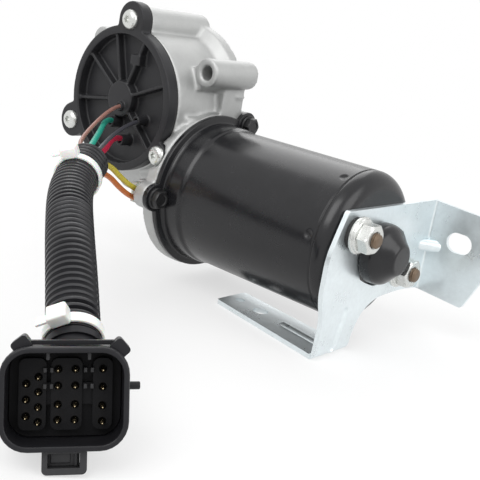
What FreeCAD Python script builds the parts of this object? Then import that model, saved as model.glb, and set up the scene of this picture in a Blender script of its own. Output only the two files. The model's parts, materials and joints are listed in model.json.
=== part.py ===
"""Transfer case shift motor: a worm gear motor with a position sensor, a mounting bracket and a wiring harness.

Frame, in millimetres: the origin is on the output shaft's axis, in the plane of the mounting face.
+X runs along the motor towards its bracket, +Y leaves the mounting face towards the transfer case,
and +Z is up with the bracket's foot lying flat.
"""
import FreeCAD, Part
import math
import os

Vector = FreeCAD.Vector

# Gear train
MODULE = 1.25
WHEEL_TEETH = 44
WORM_PITCH_RADIUS = 7.7
PRESSURE_ANGLE = 20.0
TOOTH_BACKLASH = 0.2
TOOTH_TIP_GAP = 0.25
WHEEL_WIDTH = 8.0
WORM_TURNS = 5.0
WHEEL_PITCH_RADIUS = MODULE * WHEEL_TEETH / 2
WORM_LEAD = math.pi * MODULE
GEAR_CENTRES = WHEEL_PITCH_RADIUS + WORM_PITCH_RADIUS
WORM_TIP_RADIUS = WORM_PITCH_RADIUS + MODULE
WORM_ROOT_RADIUS = WORM_PITCH_RADIUS - MODULE - TOOTH_TIP_GAP
WHEEL_TIP_RADIUS = WHEEL_PITCH_RADIUS + MODULE
WHEEL_ROOT_RADIUS = WHEEL_PITCH_RADIUS - MODULE - TOOTH_TIP_GAP

# Clearances
FIT_GAP = 0.02
RUN_GAP = 0.05
SEAT_GAP = 0.25

# Share of a side that a softly rounded corner takes
SOFT_CORNER_SHARE = 0.45

# Motor axis: parallel to X, under the output axis
MOTOR_Y = -14.0
MOTOR_Z = -GEAR_CENTRES

# Gear case
CASE_WALL = 3.0
BARREL_RADIUS = 32.6
COVER_JOINT_Y = -38.0
MOUNT_FLANGE_RADIUS = 37.8
MOUNT_FLANGE_THICKNESS = 5.0
MOUNT_CHAMFER = 4.0
CAVITY_RADIUS = WHEEL_TIP_RADIUS + 1.1
CAVITY_FLOOR_GAP = 1.4
MOUNT_BOSS_PITCH_RADIUS = 41.3
MOUNT_BOSS_RADIUS = 6.3
MOUNT_BOSS_FRONT_Y = -28.5
MOUNT_HOLE_RADIUS = 3.25
MOUNT_BOSS_ANGLES = (27.0, 147.0, 225.0)
PILOT_RADIUS = 17.5
PILOT_HEIGHT = 3.0

# Worm tunnel
TUNNEL_RADIUS = 12.4
TUNNEL_BORE_RADIUS = 9.7
TUNNEL_END_X = -17.5
TUNNEL_CHAMFER = 3.0
PLUG_RADIUS = 6.0
PLUG_THICKNESS = 2.0
BALL_RADIUS = 1.25
FLANGE_X = 36.0
CASE_FLANGE_THICKNESS = 6.0
BEARING_RADIUS = 11.0
BEARING_WIDTH = 7.0

# Motor can
CAN_RADIUS = 31.0
CAN_WALL = 1.8
CAN_LENGTH = 90.0
CAN_FLANGE_RADIUS = CAN_RADIUS + 4.4
CASE_FLANGE_RADIUS = CAN_FLANGE_RADIUS + 0.4
CAN_FLANGE_THICKNESS = 2.2
CAN_SHOULDER = 6.0
CAN_ROOT_STEP = 0.8
CAN_ROOT_LENGTH = 12.0
EAR_PITCH_RADIUS = CAN_RADIUS + 4.6
EAR_RADIUS = 6.0
EAR_ANGLES = (61.0, 181.0, 301.0)
MOTOR_SCREW_RADIUS = 2.5
CUP_RADIUS = 8.3
CUP_LENGTH = 6.6
CUP_EDGE_RADIUS = 1.6
CUP_ROOT_RADIUS = 0.5
DENT_ANGLES = (116.0, 168.0, 296.0, 348.0)
DENT_FROM_END = 9.0
DENT_BALL_RADIUS = 2.4
DENT_DEPTH = 0.6

# Motor works
SHAFT_RADIUS = 4.0
ARMATURE_SLOTS = 10
AIR_GAP = 0.8
WINDING_OVERHANG = 8.0
COMMUTATOR_RADIUS = 10.5
COMMUTATOR_LENGTH = 14.0
COMMUTATOR_BARS = 10
MAGNET_ANGLE = 128.0
MAGNET_GAP = 0.1
MAGNET_THICKNESS = 6.9
MAGNET_RADIUS = CAN_RADIUS - CAN_WALL - MAGNET_GAP
ARMATURE_RADIUS = MAGNET_RADIUS - MAGNET_THICKNESS - AIR_GAP
ARMATURE_START_X = FLANGE_X + 26.0
ARMATURE_LENGTH = CAN_LENGTH - 44.0
WINDING_RADIUS = ARMATURE_RADIUS - 2.9
SLOT_PITCH_RADIUS = ARMATURE_RADIUS - 5.8
BRUSH_PLATE_RADIUS = CAN_RADIUS - CAN_WALL - 2.3
BRUSH_HOLDER_REACH = BRUSH_PLATE_RADIUS - 2.4
BRUSH_SPRING_RADIUS = 2.6
BRUSH_WIDTH = 6.0
BRUSH_HEIGHT = 8.0
BRUSH_LENGTH = BRUSH_HOLDER_REACH - 2 * BRUSH_SPRING_RADIUS - COMMUTATOR_RADIUS - 0.3

# Output shaft
SOCKET_RADIUS = 6.35
SOCKET_DEPTH = 15.0
SOCKET_KEYS = 3
SOCKET_KEY_WIDTH = 3.0
SOCKET_KEY_DEPTH = 1.5
SHAFT_BOSS_RADIUS = 10.5
BUSHING_WALL = 1.5
OUTPUT_REACH = SOCKET_DEPTH / 2
PIVOT_RADIUS = 4.0

# Sensor cover
COVER_RADIUS = 32.5
COVER_HEIGHT = 6.0
COVER_WALL = 2.2
COVER_PAD = (3.6, 9.8, 16.3, 20.7)
COVER_FLOOR_DEPTH = 5.0
COVER_HUB_RADIUS = 8.0
COVER_RIB_WIDTH = 1.6
COVER_RIB_ANGLES = (22.0, 68.0, 106.0, 145.0, 189.0, 318.0)
COVER_EAR_ANGLES = (87.0, 207.0, 327.0)
COVER_EAR_PITCH_RADIUS = 35.4
COVER_EAR_HALF_WIDTHS = (8.0, 8.0, 5.0)
SCREW_BOSS_PITCH_RADIUS = 34.3
SCREW_BOSS_RADIUS = 7.5
COVER_SCREW_RADIUS = 2.0
COVER_SCREW_HEAD_RADIUS = 4.4
GASKET_THICKNESS = 0.8
COVER_FRONT_Y = COVER_JOINT_Y - COVER_HEIGHT
COVER_FLOOR_Y = COVER_FRONT_Y + COVER_FLOOR_DEPTH
COVER_BACK_Y = COVER_FLOOR_Y + COVER_WALL
BOARD_THICKNESS = 1.0
WIRE_TUBE_WALL = 1.3
WIRE_TUBE_REACH = 1.6
WIRE_START_Y = COVER_FRONT_Y + 2.2

# Bracket, with its outline given as across and up from the motor axis
SHEET = 2.0
BRACKET_X = FLANGE_X + CAN_LENGTH
STUD_RADIUS = 3.0
STUD_ACROSS = 18.2
STUD_UP = 9.3
STUD_END_X = BRACKET_X + 15.5
STUD_HEAD_STEP = 0.9
NUT_FLATS = 10.0
NUT_HEIGHT = 6.6
NUT_FLANGE_RADIUS = 6.8
NUT_FLANGE_THICKNESS = 1.3
BRACKET_TOP = 18.2
BEND_ACROSS = 45.0
BEND_RADIUS = 3.0
FOOT_BOTTOM = -41.5
WING_END_X = BRACKET_X + 32.0
FOOT_END_X = BRACKET_X - 59.1
OPENING_CENTRE = (6.8, -2.6)
OPENING_RADIUS = 16.0
OPENING_FLATS = (-15.4, 11.0)
PLATE_CORNER = 1.6
LEG_LEFT = -28.5
LEG_RIGHT = -6.0
WING_LOW_X = BRACKET_X + 23.8
WING_CORNER = 1.6
WING_SLOT_X = BRACKET_X + 16.5
WING_SLOT_UP = 2.9
WING_SLOT_HALF = 1.5
WING_SLOT_RADIUS = 4.3
FOOT_CORNER = 1.6
FOOT_HOLES = ((BRACKET_X - 53.3, -9.4, 2.1), (BRACKET_X - 40.0, -11.0, 3.3))
BEAD_RADIUS = 2.6
BEAD_SINK = 1.5
BEAD_ACROSS = -17.0
BEAD_TOP_ACROSS = -12.6
BEAD_TOP_UP = -24.0
BEAD_FOOT_X = BRACKET_X - 25.0
BEAD_FOOT_ACROSS = -13.5
DART_UP = -1.6
DART_LENGTH = 4.6
DART_SINK = 1.2

# Harness
LOOM_DIAMETER = 16.5
TIE_THICKNESS = 0.9
TIE_GAP = 0.1
TIE_WIDTH = 3.8
TIE_HEAD = (5.6, 6.4, 4.2)
UPPER_TIE = 15.0
UPPER_TIE_SIDE = (0.35, -0.7, 0.3)
LOWER_TIE = 2.4
LOWER_TIE_SIDE = (-0.3, -0.8, 0.5)
THIN_WIRE = 1.7
THICK_WIRE = 2.4
CONNECTOR_WIDTH = 33.1
CONNECTOR_HEIGHT = 26.8
CONNECTOR_CORNER = 7.2
CONNECTOR_DEPTH = 17.0
CONNECTOR_BACK = 3.0
BACKSHELL_DEPTH = 10.0
INSERT_FACE = -9.5
PIN_TIP = -6.0
CONNECTOR_WALL = 1.3
RIM_STEP = 0.4
RIM_START = -2.6
RIM_END = -1.2
SLEEVE_RADIUS = LOOM_DIAMETER / 2 - 0.45
CONNECTOR_FACE = (134.6, -168.5, -56.0)
CONNECTOR_YAW = -40.3
CONNECTOR_TILT = 18.0
CONNECTOR_ROLL = 5.5
FLOOR_Z = MOTOR_Z + FOOT_BOTTOM


def along_x(radius, start, end, y=MOTOR_Y, z=MOTOR_Z):
    """A solid cylinder parallel to X."""
    return Part.makeCylinder(radius, end - start, Vector(start, y, z), Vector(1, 0, 0))


def along_y(radius, start, end, x=0.0, z=0.0):
    """A solid cylinder parallel to Y."""
    return Part.makeCylinder(radius, end - start, Vector(x, start, z), Vector(0, 1, 0))


def ring_x(outer, inner, start, end, y=MOTOR_Y, z=MOTOR_Z):
    """A tube parallel to X."""
    return along_x(outer, start, end, y, z).cut(along_x(inner, start, end, y, z))


def ring_y(outer, inner, start, end, x=0.0, z=0.0):
    """A tube parallel to Y."""
    return along_y(outer, start, end, x, z).cut(along_y(inner, start, end, x, z))


def block(x, y, z):
    """A box from three pairs of limits."""
    return Part.makeBox(x[1] - x[0], y[1] - y[0], z[1] - z[0], Vector(x[0], y[0], z[0]))


def prism(points, push):
    """A polygon in space, pushed along a vector."""
    corners = [Vector(*p) for p in points]
    return Part.Face(Part.makePolygon(corners + corners[:1])).extrude(Vector(*push))


def fused(shapes):
    """One clean shape from several."""
    shapes = list(shapes)
    return shapes[0].multiFuse(shapes[1:]).removeSplitter() if len(shapes) > 1 else shapes[0]


def polar(radius, degrees):
    """The two coordinates of a point at a radius and an angle."""
    angle = math.radians(degrees)
    return radius * math.cos(angle), radius * math.sin(angle)


def on_case(radius, degrees):
    """X and Z of a point round the output axis, at an angle from +X towards +Z."""
    return polar(radius, degrees)


def on_motor(radius, degrees):
    """Y and Z of a point round the motor axis, at an angle from +Y towards +Z."""
    across, up = polar(radius, degrees)
    return MOTOR_Y + across, MOTOR_Z + up


def revolved_x(profile):
    """Turns a profile of (x, radius) points round the motor axis."""
    corners = [Vector(x, MOTOR_Y, MOTOR_Z + r) for x, r in profile]
    face = Part.Face(Part.makePolygon(corners + corners[:1]))
    return face.revolve(Vector(0, MOTOR_Y, MOTOR_Z), Vector(1, 0, 0), 360)


def revolved_y(profile):
    """Turns a profile of (y, radius) points round the output axis."""
    corners = [Vector(r, y, 0) for y, r in profile]
    face = Part.Face(Part.makePolygon(corners + corners[:1]))
    return face.revolve(Vector(0, 0, 0), Vector(0, 1, 0), 360)


def rounded_face(corners):
    """A flat face from (corner, radius) pairs; None gives the largest radius that its two sides allow."""
    bends = []
    for number, (corner, radius) in enumerate(corners):
        back = corners[number - 1][0] - corner
        ahead = corners[(number + 1) % len(corners)][0] - corner
        half_angle = back.getAngle(ahead) / 2
        if radius is None:
            radius = SOFT_CORNER_SHARE * min(back.Length, ahead.Length) * math.tan(half_angle)
        reach = radius / math.tan(half_angle)
        back.normalize()
        ahead.normalize()
        middle = corner + (back + ahead).normalize() * (radius / math.sin(half_angle) - radius)
        bends.append((corner + back * reach, middle, corner + ahead * reach, radius))
    edges = []
    for number, (enter, middle, leave, radius) in enumerate(bends):
        if radius > 0:
            edges.append(Part.Arc(enter, middle, leave).toShape())
        edges.append(Part.LineSegment(leave, bends[(number + 1) % len(bends)][0]).toShape())
    return Part.Face(Part.Wire(edges))


def edges_along(shape, direction, x=None, y=None, z=None):
    """A shape's straight edges that run along a direction at given coordinates."""
    found = []
    for edge in shape.Edges:
        if edge.Degenerated or len(edge.Vertexes) < 2:
            continue
        chord = edge.Vertexes[1].Point - edge.Vertexes[0].Point
        near = all(want is None or abs(have - want) < 1e-4 for have, want in zip(edge.CenterOfMass, (x, y, z)))
        if near and abs(chord.dot(Vector(*direction))) > 0.999 * edge.Length:
            found.append(edge)
    return found


def rounded_prism(width, height, radius, start, end):
    """A rounded rectangle centred on the local X axis, pushed along it from start to end."""
    solid = Part.makeBox(end - start, width, height, Vector(start, -width / 2, -height / 2))
    edges = [e for e in solid.Edges if abs(e.tangentAt(e.FirstParameter).x) > 0.9]
    return solid.makeFillet(radius, edges)


def cord_path(points):
    """The edges of a route's straight runs and tangent arcs, and the arcs' radii."""
    corners = [Vector(*p) for p in points]
    edges = []
    radii = []
    last = corners[0]
    for before, corner, after in zip(corners, corners[1:], corners[2:]):
        back = before - corner
        ahead = after - corner
        half_turn = (math.pi - back.getAngle(ahead)) / 2
        reach = 0.45 * min(back.Length, ahead.Length)
        radius = reach / math.tan(half_turn)
        radii.append(round(radius, 1))
        enter = corner + back * (reach / back.Length)
        leave = corner + ahead * (reach / ahead.Length)
        to_centre = (back.normalize() + ahead.normalize()).normalize()
        centre = corner + to_centre * (radius / math.cos(half_turn))
        middle = centre - to_centre * radius
        edges.append(Part.LineSegment(last, enter).toShape())
        edges.append(Part.Arc(enter, middle, leave).toShape())
        last = leave
    edges.append(Part.LineSegment(last, corners[-1]).toShape())
    return edges, radii


def tube(points, diameter, name):
    """A round cord along a route; prints its length, its arc radii and how full its section is."""
    edges, radii = cord_path(points)
    path = Part.Wire(edges)
    section = Part.Wire(Part.makeCircle(diameter / 2, Vector(*points[0]), Vector(*points[1]) - Vector(*points[0])))
    solid = path.makePipeShell([section], True, False)
    expected = math.pi * diameter ** 2 / 4 * path.Length
    print(name, "length", round(path.Length, 1), "radii", radii, "diameters", round(min(radii) / diameter, 1),
          "volume share", round(solid.Volume / expected, 4))
    return solid


def along_cord(points, distance):
    """The point and the direction at a distance along a route; a negative distance counts from its end."""
    edges, radii = cord_path(points)
    left = distance if distance >= 0 else distance + sum(e.Length for e in edges)
    for edge in edges:
        if left <= edge.Length:
            place = edge.getParameterByLength(left)
            return edge.valueAt(place), edge.tangentAt(place).normalize()
        left -= edge.Length
    raise ValueError("the distance is longer than the route")


def save(name, shape):
    """Writes one node's STEP file."""
    shape.exportStep("parts/" + name + ".step")


# Gear case

def case_ears():
    """The ears round the motor flange, as a full-thickness set."""
    ears = []
    for angle in EAR_ANGLES:
        y, z = on_motor(EAR_PITCH_RADIUS, angle)
        ears.append((y, z))
    return ears


def gear_housing():
    """The cast case: barrel, mounting flange and bosses, worm tunnel and motor flange."""
    cavity_floor = MOTOR_Y + WHEEL_WIDTH / 2 + CAVITY_FLOOR_GAP
    flange_back = FLANGE_X - CASE_FLANGE_THICKNESS
    solids = [
        along_y(BARREL_RADIUS, COVER_JOINT_Y, 0),
        revolved_y([(-MOUNT_FLANGE_THICKNESS - MOUNT_CHAMFER, 0),
                    (-MOUNT_FLANGE_THICKNESS - MOUNT_CHAMFER, BARREL_RADIUS),
                    (-MOUNT_FLANGE_THICKNESS, MOUNT_FLANGE_RADIUS), (0, MOUNT_FLANGE_RADIUS), (0, 0)]),
        along_y(PILOT_RADIUS, 0, PILOT_HEIGHT),
        revolved_x([(TUNNEL_END_X, 0), (TUNNEL_END_X, TUNNEL_RADIUS - TUNNEL_CHAMFER),
                    (TUNNEL_END_X + TUNNEL_CHAMFER, TUNNEL_RADIUS), (flange_back, TUNNEL_RADIUS), (flange_back, 0)]),
        along_x(CASE_FLANGE_RADIUS, flange_back, FLANGE_X),
        block((23.0, flange_back + 1), (-47.5, MOTOR_Y), (-42.0, -31.0)),
        block((8.0, 34.0), (-33.0, 0.0), (MOTOR_Z, -1.5)),
        block((28.0, FLANGE_X), (-14.0, 0.0), (MOTOR_Z + 20, 15.0)),
    ]
    for angle in MOUNT_BOSS_ANGLES:
        x, z = on_case(MOUNT_BOSS_PITCH_RADIUS, angle)
        solids.append(along_y(MOUNT_BOSS_RADIUS, MOUNT_BOSS_FRONT_Y, 0, x, z))
        inner_x, inner_z = on_case(BARREL_RADIUS - CASE_WALL, angle)
        side_x, side_z = polar(MOUNT_BOSS_RADIUS - 1.0, angle + 90)
        solids.append(prism([(x + side_x, MOUNT_BOSS_FRONT_Y + 1.5, z + side_z),
                             (x - side_x, MOUNT_BOSS_FRONT_Y + 1.5, z - side_z),
                             (inner_x - side_x, MOUNT_BOSS_FRONT_Y + 1.5, inner_z - side_z),
                             (inner_x + side_x, MOUNT_BOSS_FRONT_Y + 1.5, inner_z + side_z)],
                            (0, -MOUNT_BOSS_FRONT_Y - 1.5, 0)))
    for angle in COVER_EAR_ANGLES:
        x, z = on_case(SCREW_BOSS_PITCH_RADIUS, angle)
        solids.append(along_y(SCREW_BOSS_RADIUS, COVER_JOINT_Y, 0, x, z))
    for y, z in case_ears():
        solids.append(along_x(EAR_RADIUS, flange_back, FLANGE_X, y, z))
    ear_y, ear_z = case_ears()[0]
    solids.append(block((flange_back, FLANGE_X), (-CASE_FLANGE_THICKNESS, ear_y), (ear_z, ear_z + EAR_RADIUS)))
    body = fused(solids)
    body = body.cut(block((FLANGE_X, FLANGE_X + 20), (-60, 20), (-60, 8)))
    body = body.cut(block((31.0, FLANGE_X + 1), (-26.0, -14.5), (-13.0, -3.0)))
    body = body.cut(cover_outline(COVER_FRONT_Y - 12, COVER_JOINT_Y, SEAT_GAP))
    body = body.cut(along_x(TUNNEL_BORE_RADIUS, TUNNEL_END_X + PLUG_THICKNESS, FLANGE_X))
    body = body.cut(along_x(BEARING_RADIUS + FIT_GAP, FLANGE_X - BEARING_WIDTH - 1, FLANGE_X))
    body = body.cut(along_x(PLUG_RADIUS + FIT_GAP, TUNNEL_END_X, FLANGE_X))
    body = body.cut(block((24.4, 29.6), (-48.0, -38.0), (-40.4, -32.6)))
    body = body.cut(block((24.4, FLANGE_X), (-43.0, -38.0), (-40.4, -32.6)))
    body = body.cut(along_y(CAVITY_RADIUS, COVER_JOINT_Y, cavity_floor))
    body = body.cut(along_y(SHAFT_BOSS_RADIUS + BUSHING_WALL + FIT_GAP, cavity_floor, PILOT_HEIGHT))
    for angle in MOUNT_BOSS_ANGLES:
        x, z = on_case(MOUNT_BOSS_PITCH_RADIUS, angle)
        body = body.cut(along_y(MOUNT_HOLE_RADIUS, MOUNT_BOSS_FRONT_Y, 0, x, z))
    for angle in COVER_EAR_ANGLES:
        x, z = on_case(COVER_EAR_PITCH_RADIUS, angle)
        body = body.cut(along_y(COVER_SCREW_RADIUS + RUN_GAP, COVER_JOINT_Y, COVER_JOINT_Y + 12, x, z))
    for y, z in case_ears():
        body = body.cut(along_x(MOTOR_SCREW_RADIUS + RUN_GAP, flange_back, FLANGE_X, y, z))
    return body


def output_bushing():
    """The sintered bush that carries the output shaft in the case's back wall."""
    cavity_floor = MOTOR_Y + WHEEL_WIDTH / 2 + CAVITY_FLOOR_GAP
    return ring_y(SHAFT_BOSS_RADIUS + BUSHING_WALL, SHAFT_BOSS_RADIUS + RUN_GAP, cavity_floor, PILOT_HEIGHT - 2.0)


def output_seal():
    """The lip seal at the mouth of the output bore."""
    return ring_y(SHAFT_BOSS_RADIUS + BUSHING_WALL, SHAFT_BOSS_RADIUS + RUN_GAP, PILOT_HEIGHT - 1.9, PILOT_HEIGHT)


def thrust_plug():
    """The plug that closes the tunnel's far end, with a collar round the thrust ball."""
    face = TUNNEL_END_X + PLUG_THICKNESS
    collar = ring_x(3.2, BALL_RADIUS + RUN_GAP, face, face + BALL_RADIUS)
    return along_x(PLUG_RADIUS, TUNNEL_END_X, face).fuse(collar)


def ball_centre_x():
    """Where the thrust ball stands along the motor axis."""
    return TUNNEL_END_X + PLUG_THICKNESS + BALL_RADIUS + FIT_GAP


def thrust_ball():
    """The steel ball between the shaft's end and the plug."""
    return Part.makeSphere(BALL_RADIUS, Vector(ball_centre_x(), MOTOR_Y, MOTOR_Z))


# Output shaft and wheel

def tooth_ring(spacing_shift, y):
    """The wheel's outline at one height along its axis, turned by a small angle."""
    quarter = MODULE * math.pi / 4 - TOOTH_BACKLASH / 2
    slope = math.tan(math.radians(PRESSURE_ANGLE))
    tip_half = (quarter - MODULE * slope) / WHEEL_TIP_RADIUS
    root_half = (quarter + (MODULE + TOOTH_TIP_GAP) * slope) / WHEEL_ROOT_RADIUS
    corners = []
    for tooth in range(WHEEL_TEETH):
        middle = -math.pi / 2 + (tooth + 0.5) * 2 * math.pi / WHEEL_TEETH - spacing_shift
        for radius, half in ((WHEEL_ROOT_RADIUS, -root_half), (WHEEL_TIP_RADIUS, -tip_half),
                             (WHEEL_TIP_RADIUS, tip_half), (WHEEL_ROOT_RADIUS, root_half)):
            angle = middle + half
            corners.append(Vector(radius * math.cos(angle), y, radius * math.sin(angle)))
    return Part.makePolygon(corners + corners[:1])


def drive_gear():
    """The worm wheel: helical teeth on a rim, a web with windows and a hub on the shaft."""
    lead_angle = math.atan(WORM_LEAD / (2 * math.pi * WORM_PITCH_RADIUS))
    half = WHEEL_WIDTH / 2
    twist = half * math.tan(lead_angle) / WHEEL_PITCH_RADIUS
    front = tooth_ring(-twist, MOTOR_Y - half)
    back = tooth_ring(twist, MOTOR_Y + half)
    wheel = Part.makeLoft([front, back], True, True)
    recess = ring_y(WHEEL_ROOT_RADIUS - 3, SHAFT_BOSS_RADIUS + 4, MOTOR_Y - half, MOTOR_Y - half + 2.5)
    wheel = wheel.cut(recess)
    wheel = wheel.cut(recess.translated(Vector(0, WHEEL_WIDTH - 2.5, 0)))
    for number in range(6):
        x, z = on_case((WHEEL_ROOT_RADIUS + SHAFT_BOSS_RADIUS + 1) / 2, 60 * number)
        wheel = wheel.cut(along_y(2.6, MOTOR_Y - half, MOTOR_Y + half, x, z))
    return wheel.cut(along_y(SHAFT_BOSS_RADIUS - 1.5 + FIT_GAP, MOTOR_Y - half, MOTOR_Y + half))


def output_shaft():
    """The stepped output shaft with its female keyed socket and front pivot."""
    gear_front = MOTOR_Y - WHEEL_WIDTH / 2
    gear_back = MOTOR_Y + WHEEL_WIDTH / 2
    shaft = fused([
        along_y(PIVOT_RADIUS, COVER_FLOOR_Y - 1.2, gear_front - 3),
        along_y(SHAFT_BOSS_RADIUS - 1.5, gear_front - 3, gear_back + FIT_GAP),
        along_y(SHAFT_BOSS_RADIUS, gear_back + FIT_GAP, OUTPUT_REACH),
    ])
    shaft = shaft.cut(along_y(SOCKET_RADIUS, OUTPUT_REACH - SOCKET_DEPTH, OUTPUT_REACH))
    for number in range(SOCKET_KEYS):
        key = block((0, SOCKET_RADIUS + SOCKET_KEY_DEPTH), (OUTPUT_REACH - SOCKET_DEPTH, OUTPUT_REACH),
                    (-SOCKET_KEY_WIDTH / 2, SOCKET_KEY_WIDTH / 2))
        key.rotate(Vector(0, 0, 0), Vector(0, 1, 0), 90 + 360 * number / SOCKET_KEYS)
        shaft = shaft.cut(key)
    return shaft


def gear_retainer():
    """The snap ring in front of the wheel."""
    gear_front = MOTOR_Y - WHEEL_WIDTH / 2
    ring = ring_y(SHAFT_BOSS_RADIUS + 1.5, SHAFT_BOSS_RADIUS - 1.5 + FIT_GAP, gear_front - 1.3, gear_front - 0.1)
    return ring.cut(block((-3, 3), (gear_front - 3, gear_front), (0, 20)))


def sensor_wiper():
    """The wiper carrier that turns with the shaft, with three contact fingers."""
    gear_front = MOTOR_Y - WHEEL_WIDTH / 2
    base = gear_front - 3.0
    carrier = ring_y(15.0, PIVOT_RADIUS + FIT_GAP, base - 3.0, base - 0.1)
    fingers = []
    for radius in (9.0, 11.5, 14.0):
        finger = block((radius - 0.7, radius + 0.7), (COVER_BACK_Y + BOARD_THICKNESS + 0.2, base - 2.8), (-3.0, -1.8))
        fingers.append(finger)
    return fused([carrier] + fingers)


# Sensor cover

def cover_tubes():
    """Where each wire leaves the cover, as (x, z, wire diameter)."""
    return {"brown": (2.5, -2.9, THIN_WIRE), "green": (-2.4, -11.0, THICK_WIRE),
            "black": (14.8, -7.0, THIN_WIRE), "red": (5.6, -17.8, THICK_WIRE)}


def cover_outline(start, end, grow=0.0):
    """The cover's round outline with its three ears, as one slab."""
    slab = [along_y(COVER_RADIUS + grow, start, end)]
    for angle, half_width in zip(COVER_EAR_ANGLES, COVER_EAR_HALF_WIDTHS):
        half = half_width + grow
        ear = along_y(half, start, end, COVER_EAR_PITCH_RADIUS, 0)
        root = block((20, COVER_EAR_PITCH_RADIUS), (start, end), (-half, half))
        lug = ear.fuse(root)
        lug.rotate(Vector(0, 0, 0), Vector(0, 1, 0), -angle)
        slab.append(lug)
    return fused(slab)


def sensor_cover():
    """The moulded cover: a ribbed dish with a hub, wire tubes and three ears."""
    front = COVER_FRONT_Y
    floor = COVER_FLOOR_Y
    joint = COVER_JOINT_Y - GASKET_THICKNESS
    spigot = CAVITY_RADIUS - SEAT_GAP
    dish = spigot - 0.8
    body = fused([cover_outline(front, joint), along_y(spigot, joint - 0.5, COVER_BACK_Y)])
    body = body.cut(along_y(dish, front, floor))
    parts = [body, along_y(COVER_HUB_RADIUS, front + 0.4, COVER_BACK_Y)]
    for angle in COVER_RIB_ANGLES:
        rib = block((COVER_HUB_RADIUS - 1, dish + 1), (front + 1.2, floor + 0.5),
                    (-COVER_RIB_WIDTH / 2, COVER_RIB_WIDTH / 2))
        rib.rotate(Vector(0, 0, 0), Vector(0, 1, 0), -angle)
        parts.append(rib)
    x0, x1, z0, z1 = COVER_PAD
    parts.append(block((x0, x1), (front + 0.8, floor + 0.5), (z0, z1)))
    for x, z, wire in cover_tubes().values():
        parts.append(along_y(wire / 2 + WIRE_TUBE_WALL, front - WIRE_TUBE_REACH, floor + 0.5, x, z))
    body = fused(parts)
    body = body.cut(along_y(PIVOT_RADIUS + RUN_GAP, floor - 1.4, COVER_BACK_Y))
    for x, z, wire in cover_tubes().values():
        body = body.cut(along_y(wire / 2 + SEAT_GAP, front - WIRE_TUBE_REACH, WIRE_START_Y, x, z))
    for angle in COVER_EAR_ANGLES:
        x, z = on_case(COVER_EAR_PITCH_RADIUS, angle)
        body = body.cut(along_y(COVER_SCREW_RADIUS + RUN_GAP, front, joint, x, z))
    return body


def cover_gasket():
    """The flat gasket between the cover and the case."""
    start = COVER_JOINT_Y - GASKET_THICKNESS
    gasket = cover_outline(start, COVER_JOINT_Y, -0.3).cut(along_y(CAVITY_RADIUS, start, COVER_JOINT_Y))
    for angle in COVER_EAR_ANGLES:
        x, z = on_case(COVER_EAR_PITCH_RADIUS, angle)
        gasket = gasket.cut(along_y(COVER_SCREW_RADIUS + RUN_GAP, start, COVER_JOINT_Y, x, z))
    return gasket


def cover_screws():
    """Three pan-head screws with a six-lobe recess."""
    front = COVER_FRONT_Y
    screws = []
    for angle in COVER_EAR_ANGLES:
        x, z = on_case(COVER_EAR_PITCH_RADIUS, angle)
        head = along_y(COVER_SCREW_HEAD_RADIUS, front - 2.4, front, x, z)
        head = head.makeFillet(0.9, [e for e in head.Edges if abs(e.BoundBox.YMax - front + 2.4) < 1e-6])
        screw = head.fuse(along_y(COVER_SCREW_RADIUS, front, COVER_JOINT_Y + 11, x, z))
        screw = screw.cut(along_y(1.1, front - 2.4, front - 0.9, x, z))
        for lobe in range(6):
            dx, dz = polar(1.2, 60 * lobe)
            screw = screw.cut(along_y(0.45, front - 2.4, front - 0.9, x + dx, z + dz))
        screws.append(screw)
    return Part.makeCompound(screws)


def sensor_board():
    """The round contact board in the cover, under the wiper's fingers."""
    return ring_y(CAVITY_RADIUS - 3.5, PIVOT_RADIUS + 2.6, COVER_BACK_Y, COVER_BACK_Y + BOARD_THICKNESS)


# Worm and motor shaft

def worm():
    """The single-start worm, its thread swept along a helix and centred under the wheel."""
    quarter = MODULE * math.pi / 4 - TOOTH_BACKLASH / 2
    slope = math.tan(math.radians(PRESSURE_ANGLE))
    buried = WORM_ROOT_RADIUS - 0.6
    tip_half = quarter - MODULE * slope
    root_half = quarter + (WORM_PITCH_RADIUS - buried) * slope
    corners = [Vector(buried, 0, -root_half), Vector(WORM_TIP_RADIUS, 0, -tip_half),
               Vector(WORM_TIP_RADIUS, 0, tip_half), Vector(buried, 0, root_half)]
    length = WORM_TURNS * WORM_LEAD
    helix = Part.makeHelix(WORM_LEAD, length, WORM_PITCH_RADIUS)
    thread = Part.Wire(helix).makePipeShell([Part.makePolygon(corners + corners[:1])], True, True)
    core = Part.makeCylinder(WORM_ROOT_RADIUS, length + 2 * root_half, Vector(0, 0, -root_half))
    body = core.fuse(thread)
    body = body.cut(Part.makeCylinder(SHAFT_RADIUS + FIT_GAP, length + 20, Vector(0, 0, -10)))
    body.rotate(Vector(0, 0, 0), Vector(0, 0, 1), 90 - 180 * WORM_TURNS)
    body.rotate(Vector(0, 0, 0), Vector(1, 1, 1), 120)
    body.translate(Vector(-length / 2, MOTOR_Y, MOTOR_Z))
    return body


def motor_shaft():
    """The shaft from the thrust ball to the bush in the can's cup."""
    start = ball_centre_x() + BALL_RADIUS + FIT_GAP
    end = BRACKET_X + CUP_LENGTH - 3.5
    shaft = along_x(SHAFT_RADIUS, start, end)
    return shaft.makeChamfer(0.5, [e for e in shaft.Edges if e.Curve.TypeId == "Part::GeomCircle"])


def shaft_bearing():
    """The ball bearing in the case flange, as its two races and shields."""
    start = FLANGE_X - BEARING_WIDTH - 1
    outer = ring_x(BEARING_RADIUS, BEARING_RADIUS - 2, start, start + BEARING_WIDTH)
    inner = ring_x(SHAFT_RADIUS + 2.2, SHAFT_RADIUS + RUN_GAP, start, start + BEARING_WIDTH)
    shield = ring_x(BEARING_RADIUS - 1, SHAFT_RADIUS + 1, start + 0.8, start + BEARING_WIDTH - 0.8)
    return fused([outer, inner, shield])


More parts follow.
